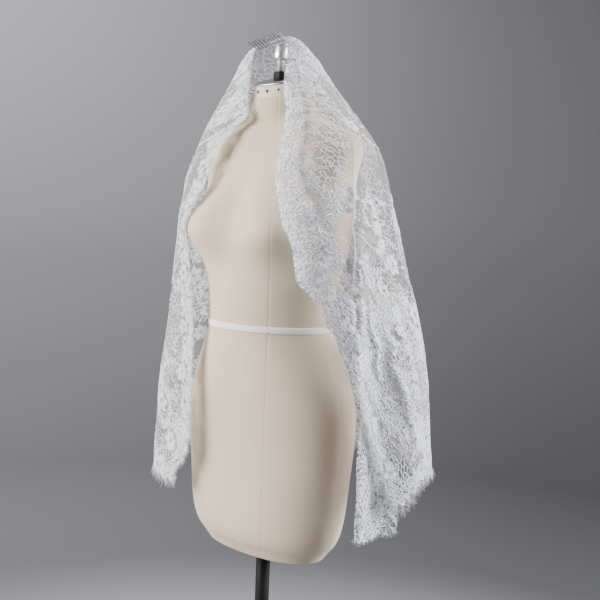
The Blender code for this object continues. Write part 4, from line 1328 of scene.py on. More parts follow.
def flower_lines(spots, rng):
    """Petals, veins and leafy stems of the flowers, as lines of equal counts of points."""
    petals, veins, leaves, stems = [], [], [], []
    for x, y, reach in spots:
        spot, count, turn = np.array([x, y]), int(rng.integers(5, 8)), rng.uniform(0, 6.3)
        for k in range(count):
            way = turn + 2.0 * math.pi * k / count + rng.uniform(-0.12, 0.12)
            root = spot + np.array([math.cos(way), math.sin(way)]) * reach * 0.16
            long = reach * rng.uniform(0.74, 0.92)
            petals.append(leaf_outline(root, way, long, reach * 0.56, 13))
            for lean in (-0.16, 0.16):
                tip = root + np.array([math.cos(way + lean), math.sin(way + lean)]) * long * 0.7
                veins.append([root + (tip - root) * q for q in (0.0, 0.35, 0.7, 1.0)])
        for way in turn + rng.uniform(0, 6.3) + np.array([0.0, 2.6]):
            heading, here, path = way, spot + np.array([math.cos(way), math.sin(way)]) * reach * 1.05, []
            bend = rng.uniform(-0.34, 0.34)
            for k in range(8):
                path.append(here.copy())
                here = here + np.array([math.cos(heading), math.sin(heading)]) * reach * 0.25
                heading += bend
                side = 1.0 if k % 2 else -1.0
                leaves.append(leaf_outline(here, heading + side * 0.8, reach * 0.44, reach * 0.20, 9))
            stems.append(path)
    return [np.array(group) for group in (petals, veins, leaves, stems)]


def build_flowers(cloth, groups, finish, plate_finish):
    """Corded flowers and leaves, with their petals worked full."""
    obs = []
    for k, (lines, thick) in enumerate(zip(groups, (0.00085, 0.00050, 0.00060, 0.00080))):
        points, normals, u, v = laid_on(cloth, lines, 0.0006)
        good = ((u > 0.006) & (u < 0.994) & (v < 1.10) & (v > 0.10)).all(1)
        obs.append(tubes("part_%d" % k, points[good], [thick] * int(good.sum()), finish, normals[good], 3, 0.9, 0.5))
        if k in (0, 2):
            ring = lines[good]
            middle = ring.mean(1, keepdims=True)
            fan = np.concatenate([middle, middle + (ring - middle) * 0.84], 1)
            points, normals, u, v = laid_on(cloth, fan, 0.0006)
            size = fan.shape[1]
            faces = [(size * n, size * n + q, size * n + q + 1) for n in range(len(fan)) for q in range(1, size - 1)]
            first = points[0]
            if np.dot(np.cross(first[1] - first[0], first[4] - first[0]), normals[0, 0]) < 0.0:
                faces = [f[::-1] for f in faces]
            plate = piece("plate_%d" % k, points.reshape(-1, 3), faces, plate_finish)
            put_values(plate, "cloth", np.concatenate([fan, 0.0 * fan[..., :1]], -1).reshape(-1, 3))
            obs.append(plate)
    return merged("lace_flowers", obs)


def build_cords(veil, finish, plate_finish):
    """Raised threads round the cells of the pattern, its full cells, and twigs at its borders."""
    s = sheets()
    rng = np.random.default_rng(veil.seed)
    cloth, full = s["veil"], s["veil_full"]

    flowers = flower_lines(s["spots"], rng)

    def keep(middle):
        u, v = cloth.share_of(middle[:, 0], middle[:, 1])
        f = field_at(cloth, full, np.clip(u, 0, 1), v)
        return (f + rng.uniform(-0.10, 0.10, len(f)) > 0.42) & (v > 0.06)

    def filled(middle):
        u, v = cloth.share_of(middle[:, 0], middle[:, 1])
        f = field_at(cloth, full, np.clip(u, 0, 1), v)
        cluster = lattice_noise(middle[:, 0] / 0.024, middle[:, 1] / 0.024, 31) + rng.uniform(-0.22, 0.22, len(f))
        return (f > 0.72) & (cluster > 0.54)

    lines, thick, six = cell_pattern(cloth, veil.cell_size, keep, filled, rng)
    points, normals, u, v = laid_on(cloth, lines, 0.0003)
    made = []
    for name, low, high in (("cords_near", -0.1, 0.36), ("cords_back", 0.36, 0.66), ("cords_far", 0.66, 1.1)):
        pick = (u[:, 1] >= low) & (u[:, 1] < high)
        made.append(tubes(name, points[pick], thick[pick], finish, normals[pick], 3, 0.9, 0.45))
    made.append(cell_plates("full_cells", cloth, six, plate_finish))
    made.append(build_flowers(cloth, flowers, finish, plate_finish))
    twigs, weights = [], []
    a, t = cloth.flat()
    tries, roots = 0, 0
    while roots < veil.sprig_count and tries < 60000:
        tries += 1
        j, i = rng.integers(12, full.shape[0] - 14), rng.integers(8, full.shape[1] - 8)
        grad = np.array([full[j, i + 3] - full[j, i - 3], full[j + 3, i] - full[j - 3, i]])
        if full[j, i] < 0.40 or np.hypot(*grad) < 0.28 or (0.30 < cloth.us[i] < 0.88 and rng.random() < 0.5):
            continue
        roots += 1
        heading = math.atan2(-grad[1], -grad[0]) + rng.uniform(-0.5, 0.5)
        coral_sprig(rng, (a[j, i], t[j, i]), heading, rng.uniform(0.018, 0.036), twigs, weights)
    points, normals, u, v = laid_on(cloth, np.array(twigs), 0.0005)
    inside = ((u > 0.004) & (u < 0.996) & (v < 1.11) & (v > 0.08)).all(1)
    made.append(tubes("lace_twigs", points[inside], np.array(weights)[inside], finish, normals[inside], 3, 0.7, 0.8))
    for name, key in (("cords_border", "lapel"), ("cords_lap", "lap")):
        small, field = s[key], s[key + "_full"]

        def all_over(middle):
            uu, vv = small.share_of(middle[:, 0], middle[:, 1])
            return (field_at(small, field, uu, vv) + rng.uniform(-0.2, 0.2, len(uu)) > 0.62) & (uu > 0.02)

        def some(middle):
            return rng.random(len(middle)) < 0.4

        lines, thick, six = cell_pattern(small, veil.cell_size * 0.9, all_over, some, rng)
        points, normals, u, v = laid_on(small, lines, 0.0004)
        made.append(cell_plates(name.replace("cords", "full_cells"), small, six, plate_finish))
        made.append(tubes(name, points, thick, finish, normals, 3, 0.9, 0.8))
    return made


def build_fringe(veil, finish):
    """Eyelash fringe along every free edge, and loose lashes on the turned border."""
    s = sheets()
    rng = np.random.default_rng(veil.seed + 5)
    cloth, lapel, lap = s["veil"], s["lapel"], s["lap"]
    near = int(np.argmax(cloth.at_grid[:, 0, 2] < 1.062))
    far = int(np.argmax(cloth.at_grid[:, -1, 2] < 1.430))
    rows = [
        (cloth.at_grid[-1], cloth.normals[-1], cloth.at_grid[-5], veil.fringe_length),
        (cloth.at_grid[near:, 0], cloth.normals[near:, 0], cloth.at_grid[near:, 4], veil.fringe_length * 0.62),
        (cloth.at_grid[far:, -1], cloth.normals[far:, -1], cloth.at_grid[far:, -5], veil.fringe_length * 0.50),
        (lapel.at_grid[:, -1], lapel.normals[:, -1], lapel.at_grid[:, -5], veil.fringe_length * 0.60),
        (lap.at_grid[-1], lap.normals[-1], lap.at_grid[-5], veil.fringe_length * 0.45),
    ]
    places, aims, lengths = [], [], []
    for row, normal, inner, length in rows:
        at, (edge, beside, square) = even_steps(row, inner, normal, step=veil.fringe_step)
        along, outward = edge_frame(edge, square, beside)
        found = fringe_row(edge, square, outward, along, rng, length, at)
        for store, values in zip((places, aims, lengths), found):
            store.append(values)
    w, t = rng.uniform(0.15, 0.98, 620), rng.uniform(0.40, 0.97, 620)
    point, normal = lapel.sample(w, t)
    lean = rng.normal(0.0, 0.5, (620, 3)) + np.array([0.25, -0.35, -0.5]) + normal * 0.35
    places.append(point)
    aims.append(lean / np.linalg.norm(lean, axis=1, keepdims=True))
    lengths.append(rng.uniform(0.004, 0.009, 620))
    ob = strand_points("fringe_points", np.concatenate(places), np.concatenate(aims), np.concatenate(lengths))
    values = {"Width": veil.fringe_width, "Bend": 0.16, "Seed": veil.seed, "Finish": finish}
    return made_plain(ob, strand_tree("eyelash_strands"), values, "eyelash_fringe")


def build_comb(stand, finish, thread):
    """A fine wire comb: a wound spine and looped teeth that cross each other."""
    left, right = np.array(SPINE_LEFT), np.array(SPINE_RIGHT)
    left, right = left + (right - left) * 0.01, right + (left - right) * 0.08
    along = (right - left) / np.linalg.norm(right - left)
    forward = np.array([0.0, -1.0, 0.0])
    up = np.cross(forward, along)
    up *= np.sign(up[2]) / np.linalg.norm(up)
    middle = forward * 0.0028
    parts = []
    core = np.array([[left + (right - left) * k / 12.0 + middle for k in range(13)]])
    parts.append(tubes("comb_core", core, [0.0009], finish, sides=10, tip=1.0))
    turns = np.linspace(0.0, 1.0, 560)
    wound = left + (right - left) * turns[:, None] + middle
    wound = wound + 0.00125 * (np.cos(turns * 2.0 * math.pi * 40)[:, None] * forward + np.sin(turns * 2.0 * math.pi * 40)[:, None] * up)
    parts.append(tubes("comb_winding", wound[None], [0.00032], finish, sides=5, tip=1.0))
    rng = np.random.default_rng(4)
    teeth = []
    for k in range(stand.comb_teeth):
        root = left + (right - left) * (0.02 + 0.96 * k / (stand.comb_teeth - 1)) + middle
        skew = along * ((0.0042 if k % 2 else -0.0042) + rng.uniform(-0.0008, 0.0008))
        half = along * 0.00085
        for side in (-1.0, 1.0):
            legs = []
            for q in np.linspace(0.0, 1.0, 9):
                reach = forward * 0.0180 * q + up * (0.0110 * q + 0.0012 * math.sin(math.pi * q))
                pinch = half * side * (1.0 if q < 0.86 else math.sqrt(max(0.0, 1.0 - ((q - 0.86) / 0.14) ** 2)))
                legs.append(root + reach + skew * q + pinch)
            teeth.append(legs)
    parts.append(tubes("comb_teeth", teeth, [0.00046] * len(teeth), finish, sides=6, tip=0.9))
    stitches = []
    for k in range(22):
        base = left + (right - left) * (0.015 + 0.97 * k / 21.0)
        loop = []
        for q in np.linspace(-0.6, 1.1, 9):
            turn = q * math.pi
            loop.append(base + along * 0.0009 * q + forward * (0.0014 + 0.0030 * math.sin(turn)) + up * 0.0022 * math.cos(turn))
        stitches.append(loop)
    parts.append(tubes("comb_stitches", stitches, [0.00030] * 22, thread, sides=5, tip=1.0))
    return face_out(merged("wire_comb", parts))


# Form pieces

SEAM_ANGLES = (-90.0, -48.0, 0.0, 48.0, 90.0, 132.0, 180.0, 228.0, 270.0)
TAPE_MIDDLE = 0.9985
CHEST_LINE = 1.1066
NECK_SEAM = 1.3540


def torso_span(z):
    """How softly the torso's rings are eased into each other at a height."""
    return np.where(z < 1.25, 0.020 - 0.015 * np.exp(-(((z - TAPE_MIDDLE) / 0.02) ** 2)), 0.006)


def torso_reach(theta, z):
    span = torso_span(z)
    ring = [rounded(z, TORSO, k, span) for k in (1, 2, 3, 4)]
    return ring_radius(theta, *ring) + bust_rise(theta, z)


def build_torso(form, finish):
    """The stuffed torso with its sewn seams pulled in, closed at neck and hem."""
    cuts = np.concatenate([[0.0, 0.012], np.linspace(0.03, 0.97, 32), [0.988]])
    angles, seam = [], []
    for low, high in zip(SEAM_ANGLES[:-1], SEAM_ANGLES[1:]):
        angles += list(low + (high - low) * cuts)
        seam += list(np.minimum(cuts, 1.0 - cuts) * (high - low))
    angles, seam = np.radians(angles), np.radians(seam)
    heights = np.unique(np.concatenate([
        np.linspace(0.598, 0.640, 22), np.linspace(0.640, 1.396, 150), CHEST_LINE + np.array([-0.0012, 0.0, 0.0012]),
        NECK_SEAM + np.array([-0.0012, 0.0, 0.0012]),
    ]))
    th, z = np.meshgrid(angles, heights)
    reach = torso_reach(th, z)
    apart = seam[None, :] * reach
    lean = 0.75 + 0.25 * smoothstep((z - 0.62) / 0.05)
    reach = reach - form.seam_depth * lean * np.exp(-((apart / 0.0011) ** 2))
    reach = reach + 0.00014 * np.exp(-((apart / 0.006) ** 2)) * (1.0 - np.exp(-((apart / 0.0016) ** 2)))
    reach = reach + 0.00025 * np.sin(th * 7.0 + z * 23.0) * np.sin(z * 41.0 + th * 3.0)
    tilt = rounded(z, TORSO, 5, 0.006)
    x, y = reach * np.cos(th), reach * np.sin(th)
    grid = np.stack([x, y, z + tilt * y], -1)
    rows, cols = z.shape
    faces = [tuple(reversed(f)) for f in grid_faces(rows, cols, wrap=True)]
    verts = grid.reshape(-1, 3).tolist()
    chest = np.abs(z - CHEST_LINE) + 0.00068
    chest = np.where((np.cos(th) > -0.75) & (np.sin(th) < -0.42), chest, 9.0)
    neck = np.abs(z - NECK_SEAM) + 0.0003
    line = np.minimum(np.minimum(np.where(z > NECK_SEAM, apart + 0.0006, apart), chest), neck).ravel().tolist()
    for row, turn in ((0, 1), (rows - 1, -1)):
        rim = [row * cols + k for k in range(cols)]
        middle = grid[row].mean(0)
        for share in (0.9, 0.55):
            start = len(verts)
            dome = (1.0 - share) * (-0.0008 if turn > 0 else 0.0)
            verts += [list(middle + (grid[row, k] - middle) * share + np.array([0.0, 0.0, dome])) for k in range(cols)]
            line += [9.0] * cols
            new = [start + k for k in range(cols)]
            for k in range(cols):
                q = (k + 1) % cols
                quad = (rim[k], new[k], new[q], rim[q])
                faces.append(quad if turn > 0 else tuple(reversed(quad)))
            rim = new
        verts.append(list(middle))
        line.append(9.0)
        for k in range(cols):
            corner = (rim[k], len(verts) - 1, rim[(k + 1) % cols])
            faces.append(corner if turn > 0 else tuple(reversed(corner)))
    ob = piece("torso_linen", verts, faces, finish)
    put_values(ob, "seam", line)
    return face_out(ob)


def stud_tree(name):
    """Small domed heads set on points that say where they aim and how big they are."""
    tree, given, out = new_tree(name, [("Flatness", "Float", 0.5), ("Finish", "Material", None)])
    link, add = tree.links.new, tree.nodes.new
    head = add("GeometryNodeMeshUVSphere")
    head.inputs["Segments"].default_value = 14
    head.inputs["Rings"].default_value = 8
    head.inputs["Radius"].default_value = 1.0
    squash = add("GeometryNodeTransform")
    size = add("ShaderNodeCombineXYZ")
    size.inputs[0].default_value = size.inputs[1].default_value = 1.0
    link(given.outputs["Flatness"], size.inputs[2])
    link(head.outputs["Mesh"], squash.inputs[0])
    link(size.outputs[0], squash.inputs["Scale"])
    aim = add("GeometryNodeInputNamedAttribute")
    aim.data_type = "FLOAT_VECTOR"
    aim.inputs["Name"].default_value = "aim"
    big = add("GeometryNodeInputNamedAttribute")
    big.inputs["Name"].default_value = "long"
    turn = add("FunctionNodeAlignRotationToVector")
    turn.axis = "Z"
    link(aim.outputs[0], turn.inputs["Vector"])
    points = add("GeometryNodeMeshToPoints")
    link(given.outputs["Geometry"], points.inputs[0])
    place = add("GeometryNodeInstanceOnPoints")
    link(points.outputs[0], place.inputs["Points"])
    link(squash.outputs[0], place.inputs["Instance"])
    link(turn.outputs[0], place.inputs["Rotation"])
    link(big.outputs[0], place.inputs["Scale"])
    real = add("GeometryNodeRealizeInstances")
    paint = add("GeometryNodeSetMaterial")
    link(place.outputs[0], real.inputs[0])
    link(real.outputs[0], paint.inputs[0])
    link(given.outputs["Finish"], paint.inputs["Material"])
    link(paint.outputs[0], out.inputs[0])
    return tree


def build_pins(finish):
    """Nail heads round the neck cap, and the pins of the front seam and the waist tape."""
    places, aims, sizes = [], [], []
    for k in range(11):
        theta = math.radians(-78.0 + k * 360.0 / 11.0 + 3.0 * math.sin(5.0 * k))
        reach = float(ring_radius(np.array(theta), 0.0507, 0.0397, 0.0627, 2.0)) + 0.0001
        y = reach * math.sin(theta)
        places.append((reach * math.cos(theta), y, 1.4090 + 0.298 * y + 0.0006 * math.sin(3.0 * k)))
        aims.append((math.cos(theta), math.sin(theta), 0.1))
        sizes.append(0.0031 if k in (0, 10) else 0.0017 + 0.0006 * math.sin(7.0 * k) ** 2)
    spots = [(-90.0, 1.1662, 0.0011, 0.0), (-89.0, CHEST_LINE, 0.0010, 0.0), (-90.0, 1.0085, 0.0010, 0.0)]
    spots += [(a, TAPE_MIDDLE + d, 0.0010, 0.0015) for a in (-48.0, 48.0, 132.0, 228.0) for d in (-0.0034, 0.0034)]
    for angle, z, size, out in spots:
        theta = math.radians(angle)
        reach = float(torso_reach(np.array(theta), np.array(z))) + out
        places.append((reach * math.cos(theta), reach * math.sin(theta), z))
        aims.append((math.cos(theta), math.sin(theta), 0.0))
        sizes.append(size)
    ob = strand_points("pin_points", places, aims, sizes)
    return made_plain(ob, stud_tree("pin_heads"), {"Flatness": 0.45, "Finish": finish}, "form_pins")


def build_tape(finish):
    """The white ribbon pinned round the waist, a little soft at its two edges."""
    theta = np.linspace(0.0, 2.0 * math.pi, 220, endpoint=False)
    section = [(-0.0055, 0.0004), (-0.0054, 0.0011), (-0.0046, 0.0014), (0.0, 0.0015), (0.0046, 0.0014),
               (0.0054, 0.0011), (0.0055, 0.0004), (0.0, 0.00035)]
    verts = []
    for dz, out in section:
        z = np.full(theta.shape, TAPE_MIDDLE + dz)
        r = torso_reach(theta, z) + out
        verts += list(zip(r * np.cos(theta), r * np.sin(theta), z))
    n, m, faces = len(theta), len(section), []
    for j in range(m):
        for k in range(n):
            a, b = j * n + k, j * n + (k + 1) % n
            c, d = ((j + 1) % m) * n + (k + 1) % n, ((j + 1) % m) * n + k
            faces.append((a, b, c, d))
    return face_out(piece("waist_ribbon", verts, faces, finish))


def build_neck(finishes):
    """The neck's wooden cap, its steel plate, the clamp and the chrome finial."""
    cap = tilted_loft("neck_cap_wood", eased_rows(NECK_CAP, steps=5), finishes["cap"], 128)
    rim = [(1.4179, 0.0486, 0.0376, 0.0606, 2.0, 0.31), (1.4183, 0.0490, 0.0380, 0.0610, 2.0, 0.31),
           (1.4205, 0.0490, 0.0380, 0.0610, 2.0, 0.31), (1.4209, 0.0486, 0.0376, 0.0606, 2.0, 0.31)]
    plate = tilted_loft("neck_plate_steel", rim, finishes["steel"], 128)
    block = [(1.4213, 0.0100, 0.0100, 0.0100, 3.0, 0.31), (1.4219, 0.0105, 0.0105, 0.0105, 3.0, 0.29),
             (1.4275, 0.0105, 0.0105, 0.0105, 3.0, 0.13), (1.4331, 0.0105, 0.0105, 0.0105, 3.0, 0.01),
             (1.4336, 0.0101, 0.0101, 0.0101, 3.0, 0.0)]
    clamp = tilted_loft("clamp_black", block, finishes["black"], 64)
    profile = [(0.0060, 1.4339), (0.0068, 1.4345), (0.0068, 1.4528), (0.0072, 1.4536), (0.0100, 1.4544), (0.0108, 1.4550),
               (0.0118, 1.4560), (0.0122, 1.4570), (0.0122, 1.4782), (0.0119, 1.4785), (0.0119, 1.4789), (0.0122, 1.4792),
               (0.0122, 1.4806), (0.0119, 1.4818), (0.0110, 1.4826), (0.0096, 1.4829)]
    finial = lathe("finial_chrome", profile, finishes["chrome"], 72)
    return [face_out(ob) for ob in (cap, plate, clamp, finial)]


def build_stand(finishes):
    """The round black base, its collar with a set screw, and the pole."""
    base = [(0.1875, 0.0), (0.1886, 0.0004), (0.1896, 0.0012), (0.1900, 0.0022), (0.1900, 0.0125), (0.1897, 0.0140),
            (0.1888, 0.0156), (0.1872, 0.0168), (0.1850, 0.0176), (0.1820, 0.0180), (0.1500, 0.0180), (0.1000, 0.0180)]
    plate = lathe("base_disc", base, finishes["black"], 160)
    ring = [(0.0290, 0.0183), (0.0300, 0.0190), (0.0300, 0.0545), (0.0297, 0.0562), (0.0288, 0.0577),
            (0.0275, 0.0590), (0.0260, 0.0597), (0.0150, 0.0600)]
    collar = lathe("collar_ring", ring, finishes["black"], 96)
    screw = lathe("collar_screw", [(0.0042, 0.0), (0.0045, 0.0004), (0.0045, 0.0018), (0.0040, 0.0023), (0.0016, 0.0023),
                                   (0.0016, 0.0012)], finishes["steel"], 24)
    place = Matrix.Translation((0.0, -0.0300, 0.0400)) @ Matrix.Rotation(math.radians(90.0), 4, "X")
    screw.data.transform(place)
    rod = [(0.0120, 0.0603), (0.0125, 0.0608), (0.0125, 0.3180), (0.0122, 0.3184), (0.0122, 0.3196), (0.0125, 0.3200),
           (0.0125, 0.5972), (0.0120, 0.5977)]
    pole = lathe("pole_black", rod, finishes["black"], 64)
    for ob in (plate, screw, pole):
        face_out(ob)
    collar = face_out(merged("collar_black", [collar, screw]))
    return plate, collar, pole


# Settings

def colour_setting(name, text, default):
    return FloatVectorProperty(name=name, description=text, default=default, size=3, min=0.0, max=1.0, subtype="COLOR")


class VeilSettings(bpy.types.PropertyGroup):
    """Lace, threads and fringe of the veil."""

    lace_colour: colour_setting("Lace colour", "Colour of the net and its pattern", (0.905, 0.915, 0.985))
    lace_cover: FloatProperty(name="Pattern cover", description="How much the pattern's ground hides", default=0.40,
                              min=0.1, max=1.0, subtype="FACTOR")
    net_cover: FloatProperty(name="Net cover", description="How much the bare net hides between its threads",
                             default=0.09, min=0.0, max=1.0, subtype="FACTOR")
    net_mesh: FloatProperty(name="Net mesh", description="Distance between the net's holes", default=0.0014,
                            min=0.0005, max=0.01, unit="LENGTH")
    cell_size: FloatProperty(name="Cell size", description="Size of the pattern's corded cells", default=0.0115,
                             min=0.006, max=0.04, unit="LENGTH")
    flower_count: IntProperty(name="Flowers", description="Corded flowers over the whole veil", default=84,
                              min=0, max=300)
    flower_size: FloatProperty(name="Flower size", description="Reach of a flower's petals", default=0.019,
                               min=0.008, max=0.04, unit="LENGTH")
    sprig_count: IntProperty(name="Twigs", description="Branching twigs at the pattern's borders", default=260,
                             min=0, max=800)
    fringe_length: FloatProperty(name="Fringe length", description="Longest lashes, on the hem", default=0.0130,
                                 min=0.002, max=0.03, unit="LENGTH")
    fringe_width: FloatProperty(name="Lash width", description="Radius of one lash at its root", default=0.00022,
                                min=0.0001, max=0.001, unit="LENGTH")
    fringe_step: FloatProperty(name="Lash spacing", description="Distance between lashes", default=0.0021,
                               min=0.0008, max=0.01, unit="LENGTH")
    seed: IntProperty(name="Seed", description="Start of the pattern's random shifts", default=7, min=0)


class FormSettings(bpy.types.PropertyGroup):
    """Linen torso and neck."""

    linen_colour: colour_setting("Linen", "Colour of the torso's cover", (0.700, 0.575, 0.425))
    cap_colour: colour_setting("Neck cap", "Colour of the wooden neck cap", (0.700, 0.600, 0.470))
    tape_colour: colour_setting("Tape", "Colour of the waist tape", (0.990, 0.955, 0.910))
    weave: FloatProperty(name="Weave pitch", description="Distance between the linen's threads", default=0.0011,
                         min=0.0003, max=0.005, unit="LENGTH")
    seam_depth: FloatProperty(name="Seam depth", description="How far a seam is pulled in", default=0.00030,
                              min=0.0, max=0.002, unit="LENGTH")


class StandSettings(bpy.types.PropertyGroup):
    """Base, pole, finial and comb."""

    black_colour: colour_setting("Black coat", "Colour of the coated steel", (0.008, 0.008, 0.009))
    chrome_colour: colour_setting("Chrome", "Colour of the finial", (0.900, 0.905, 0.920))
    steel_colour: colour_setting("Steel", "Colour of the plate and the comb", (0.420, 0.425, 0.430))
    comb_teeth: IntProperty(name="Comb teeth", description="Looped wire teeth", default=20, min=6, max=40)


class StageSettings(bpy.types.PropertyGroup):
    """Floor, sweep and lights."""

    floor_colour: colour_setting("Floor", "Colour of the floor near the stand", (0.260, 0.260, 0.268))
    wall_colour: colour_setting("Sweep", "Colour of the sweep behind", (0.098, 0.098, 0.103))
    key_power: FloatProperty(name="Key light", description="Watts of the large light at the left", default=318.0,
                             min=0.0, max=2000.0, unit="POWER")
    fill_power: FloatProperty(name="Fill light", description="Watts of the soft light at the right", default=290.0,
                              min=0.0, max=2000.0, unit="POWER")
    wall_power: FloatProperty(name="Sweep light", description="Watts of the light on the sweep", default=280.0,
                              min=0.0, max=2000.0, unit="POWER")
    sky_level: FloatProperty(name="Room light", description="Strength of the even light of the room", default=0.25,
                             min=0.0, max=5.0)


FINISHES = {}


def finishes():
    """Every finish, made once from the settings."""
    if FINISHES:
        return FINISHES
    scene = bpy.context.scene
    veil, form, stand = scene.veil_settings, scene.form_settings, scene.stand_settings
    FINISHES.update(
        # The third values set the painted shade in the gaps between threads, deeper on the border
        lace=lace_finish(veil, "white_lace", (0.62, 0.64, 0.71), 0.0009),
        border=lace_finish(veil, "border_lace", (0.48, 0.51, 0.62), 0.0018),
        cord=thread_finish(veil, "corded_thread", 0.55),
        plate=worked_finish(veil),
        lash=thread_finish(veil, "lash_thread", 0.6),
        linen=linen_finish(form, "form_linen", tuple(form.linen_colour)),
        cap=cap_finish(form),
        tape=tape_finish(form),
        pins=metal_finish("dark_pin_heads", (0.085, 0.036, 0.026), 0.45, 0.5, 0.6),
        steel=metal_finish("plain_steel", tuple(stand.steel_colour), 0.34, 0.9, 0.75),
        comb=metal_finish("comb_wire", tuple(c * 0.5 for c in stand.steel_colour), 0.35, 0.8, 0.8),
        chrome=metal_finish("bright_chrome", tuple(stand.chrome_colour), 0.34, 1.0, 0.93),
        black=metal_finish("black_coat", tuple(stand.black_colour), 0.55, 0.0, 1.4, 0.16),
    )
    return FINISHES


def cap_finish(form):
    """Painted wood of the neck cap, with patches of rust."""
    mat, tree, shader = finish_named("neck_cap_paint")
    place = node(tree, "ShaderNodeTexCoord").outputs["Object"]
    base = tuple(form.cap_colour)
    mottled = noise(tree, place, 60.0, 4.0, 0.6)
    rust = spread(tree, noise(tree, place, 95.0, 3.0, 0.6), 0.60, 0.74)
    tone = blend_colours(tree, mottled, tuple(c * 0.9 for c in base), tuple(min(1.0, c * 1.05) for c in base))
    tone = blend_colours(tree, maths(tree, "MULTIPLY", rust, 0.5), tone, (0.32, 0.17, 0.09))
    tree.links.new(tone, shader.inputs["Base Color"])
    shader.inputs["Roughness"].default_value = 0.6
    bump(tree, shader, mottled, 0.0006, 0.5)
    return mat


def tape_finish(form):
    """Twill ribbon with a line of stitches near each edge."""
    mat, tree, shader = finish_named("waist_tape_twill")
    place = node(tree, "ShaderNodeTexCoord").outputs["Object"]
    split = node(tree, "ShaderNodeSeparateXYZ")
    tree.links.new(place, split.inputs[0])
    side = maths(tree, "SUBTRACT", split.outputs[0], split.outputs[1])
    slant = maths(tree, "ADD", side, split.outputs[2])
    twill = maths(tree, "SINE", maths(tree, "MULTIPLY", slant, 2.0 * math.pi / 0.0012))
    off = maths(tree, "ABSOLUTE", maths(tree, "SUBTRACT", split.outputs[2], TAPE_MIDDLE))
    near = spread(tree, maths(tree, "ABSOLUTE", maths(tree, "SUBTRACT", off, 0.0042)), 0.0, 0.0005, 1.0, 0.0)
    dash = spread(tree, maths(tree, "SINE", maths(tree, "MULTIPLY", side, 2.0 * math.pi / 0.0032)), -0.2, 0.2)
    stitch = maths(tree, "MULTIPLY", near, dash)
    base = tuple(form.tape_colour)
    tone = blend_colours(tree, noise(tree, place, 300.0), tuple(c * 0.94 for c in base), base)
    tone = blend_colours(tree, maths(tree, "MULTIPLY", stitch, 0.35), tone, tuple(c * 0.7 for c in base))
    tree.links.new(tone, shader.inputs["Base Color"])
    shader.inputs["Roughness"].default_value = 0.8
    bump(tree, shader, maths(tree, "MULTIPLY_ADD", twill, 0.2, maths(tree, "MULTIPLY", stitch, -0.8)), 0.0002, 0.5)
    return mat


def on_body(obs, *nodes):
    """Lets pieces ride on the one body, the first of them in place of CAD nodes."""
    for ob in obs:
        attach(ob, "root")
    if nodes:
        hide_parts(*nodes)


# Operators

class VEIL_OT_lace(bpy.types.Operator):
    """Builds the draped lace veil, its turned front border and its inner lap"""

    bl_idname = "veil.build_lace"
    bl_label = "Lace veil"

    def execute(self, context):
        s, lace = sheets(), finishes()["lace"]
        veil = cloth_piece("lace_veil", s["veil"], lace, s["veil_full"], s["veil_edge"])
        put_values(veil, "pinch", crease_pinch(np.meshgrid(s["veil"].us, s["veil"].vs)[0], s["veil"].at_grid[..., 2]).ravel())
        lapel = cloth_piece("lace_front_border", s["lapel"], finishes()["border"], s["lapel_full"], s["lapel_edge"])
        lap = cloth_piece("lace_inner_lap", s["lap"], lace, s["lap_full"], s["lap_edge"])
        on_body([veil], "veil_near_fall", "veil_back_fall", "veil_far_fall", "border_near_hem", "border_back_hem",
                "border_far_hem")
        on_body([lapel], "border_front_turned")
        on_body([lap], "veil_inner_lap")
        return {"FINISHED"}


class VEIL_OT_cords(bpy.types.Operator):
    """Lays the corded cells and branching twigs of the pattern on the lace"""

    bl_idname = "veil.build_cords"
    bl_label = "Corded pattern"

    def execute(self, context):
        on_body(build_cords(context.scene.veil_settings, finishes()["cord"], finishes()["plate"]))
        return {"FINISHED"}


class VEIL_OT_fringe(bpy.types.Operator):
    """Sets the eyelash fringe along the veil's edges"""

    bl_idname = "veil.build_fringe"
    bl_label = "Eyelash fringe"

    def execute(self, context):
        fringe = build_fringe(context.scene.veil_settings, finishes()["lash"])
        if len(fringe.data.polygons) < 1000:
            raise RuntimeError("the fringe came out empty")
        on_body([fringe], "lash_near_hem", "lash_back_hem", "lash_far_hem", "lash_inner_lap")
        return {"FINISHED"}


class VEIL_OT_comb(bpy.types.Operator):
    """Builds the wire comb that the veil's top is sewn to"""

    bl_idname = "veil.build_comb"
    bl_label = "Wire comb"

    def execute(self, context):
        on_body([build_comb(context.scene.stand_settings, finishes()["comb"], finishes()["cord"])], "comb")
        return {"FINISHED"}


class VEIL_OT_form(bpy.types.Operator):
    """Builds the linen torso, its waist tape and its pins"""

    bl_idname = "veil.build_form"
    bl_label = "Dress form"

    def execute(self, context):
        made = finishes()
        on_body([build_torso(context.scene.form_settings, made["linen"])], "form_torso")
        on_body([build_tape(made["tape"])], "waist_tape")
        on_body([build_pins(made["pins"])])
        return {"FINISHED"}


class VEIL_OT_neck(bpy.types.Operator):
    """Builds the neck cap, plate, clamp and finial"""

    bl_idname = "veil.build_neck"
    bl_label = "Neck and finial"

    def execute(self, context):
        obs = build_neck(finishes())
        for ob, name in zip(obs, ("form_neck_cap", "neck_plate", "clamp_block", "finial")):
            on_body([ob], name)
        return {"FINISHED"}


class VEIL_OT_stand(bpy.types.Operator):
    """Builds the base, collar and pole"""

    bl_idname = "veil.build_stand"
    bl_label = "Stand"

    def execute(self, context):
        for ob, name in zip(build_stand(finishes()), ("base_plate", "base_collar", "pole")):
            on_body([ob], name)
        return {"FINISHED"}


class VEIL_OT_stage(bpy.types.Operator):
    """Builds the plain floor and sweep, the lights and the camera"""

    bl_idname = "veil.build_stage"
    bl_label = "Stage and camera"

    def execute(self, context):
        build_stage(context.scene.stage_settings)
        place_camera()
        return {"FINISHED"}


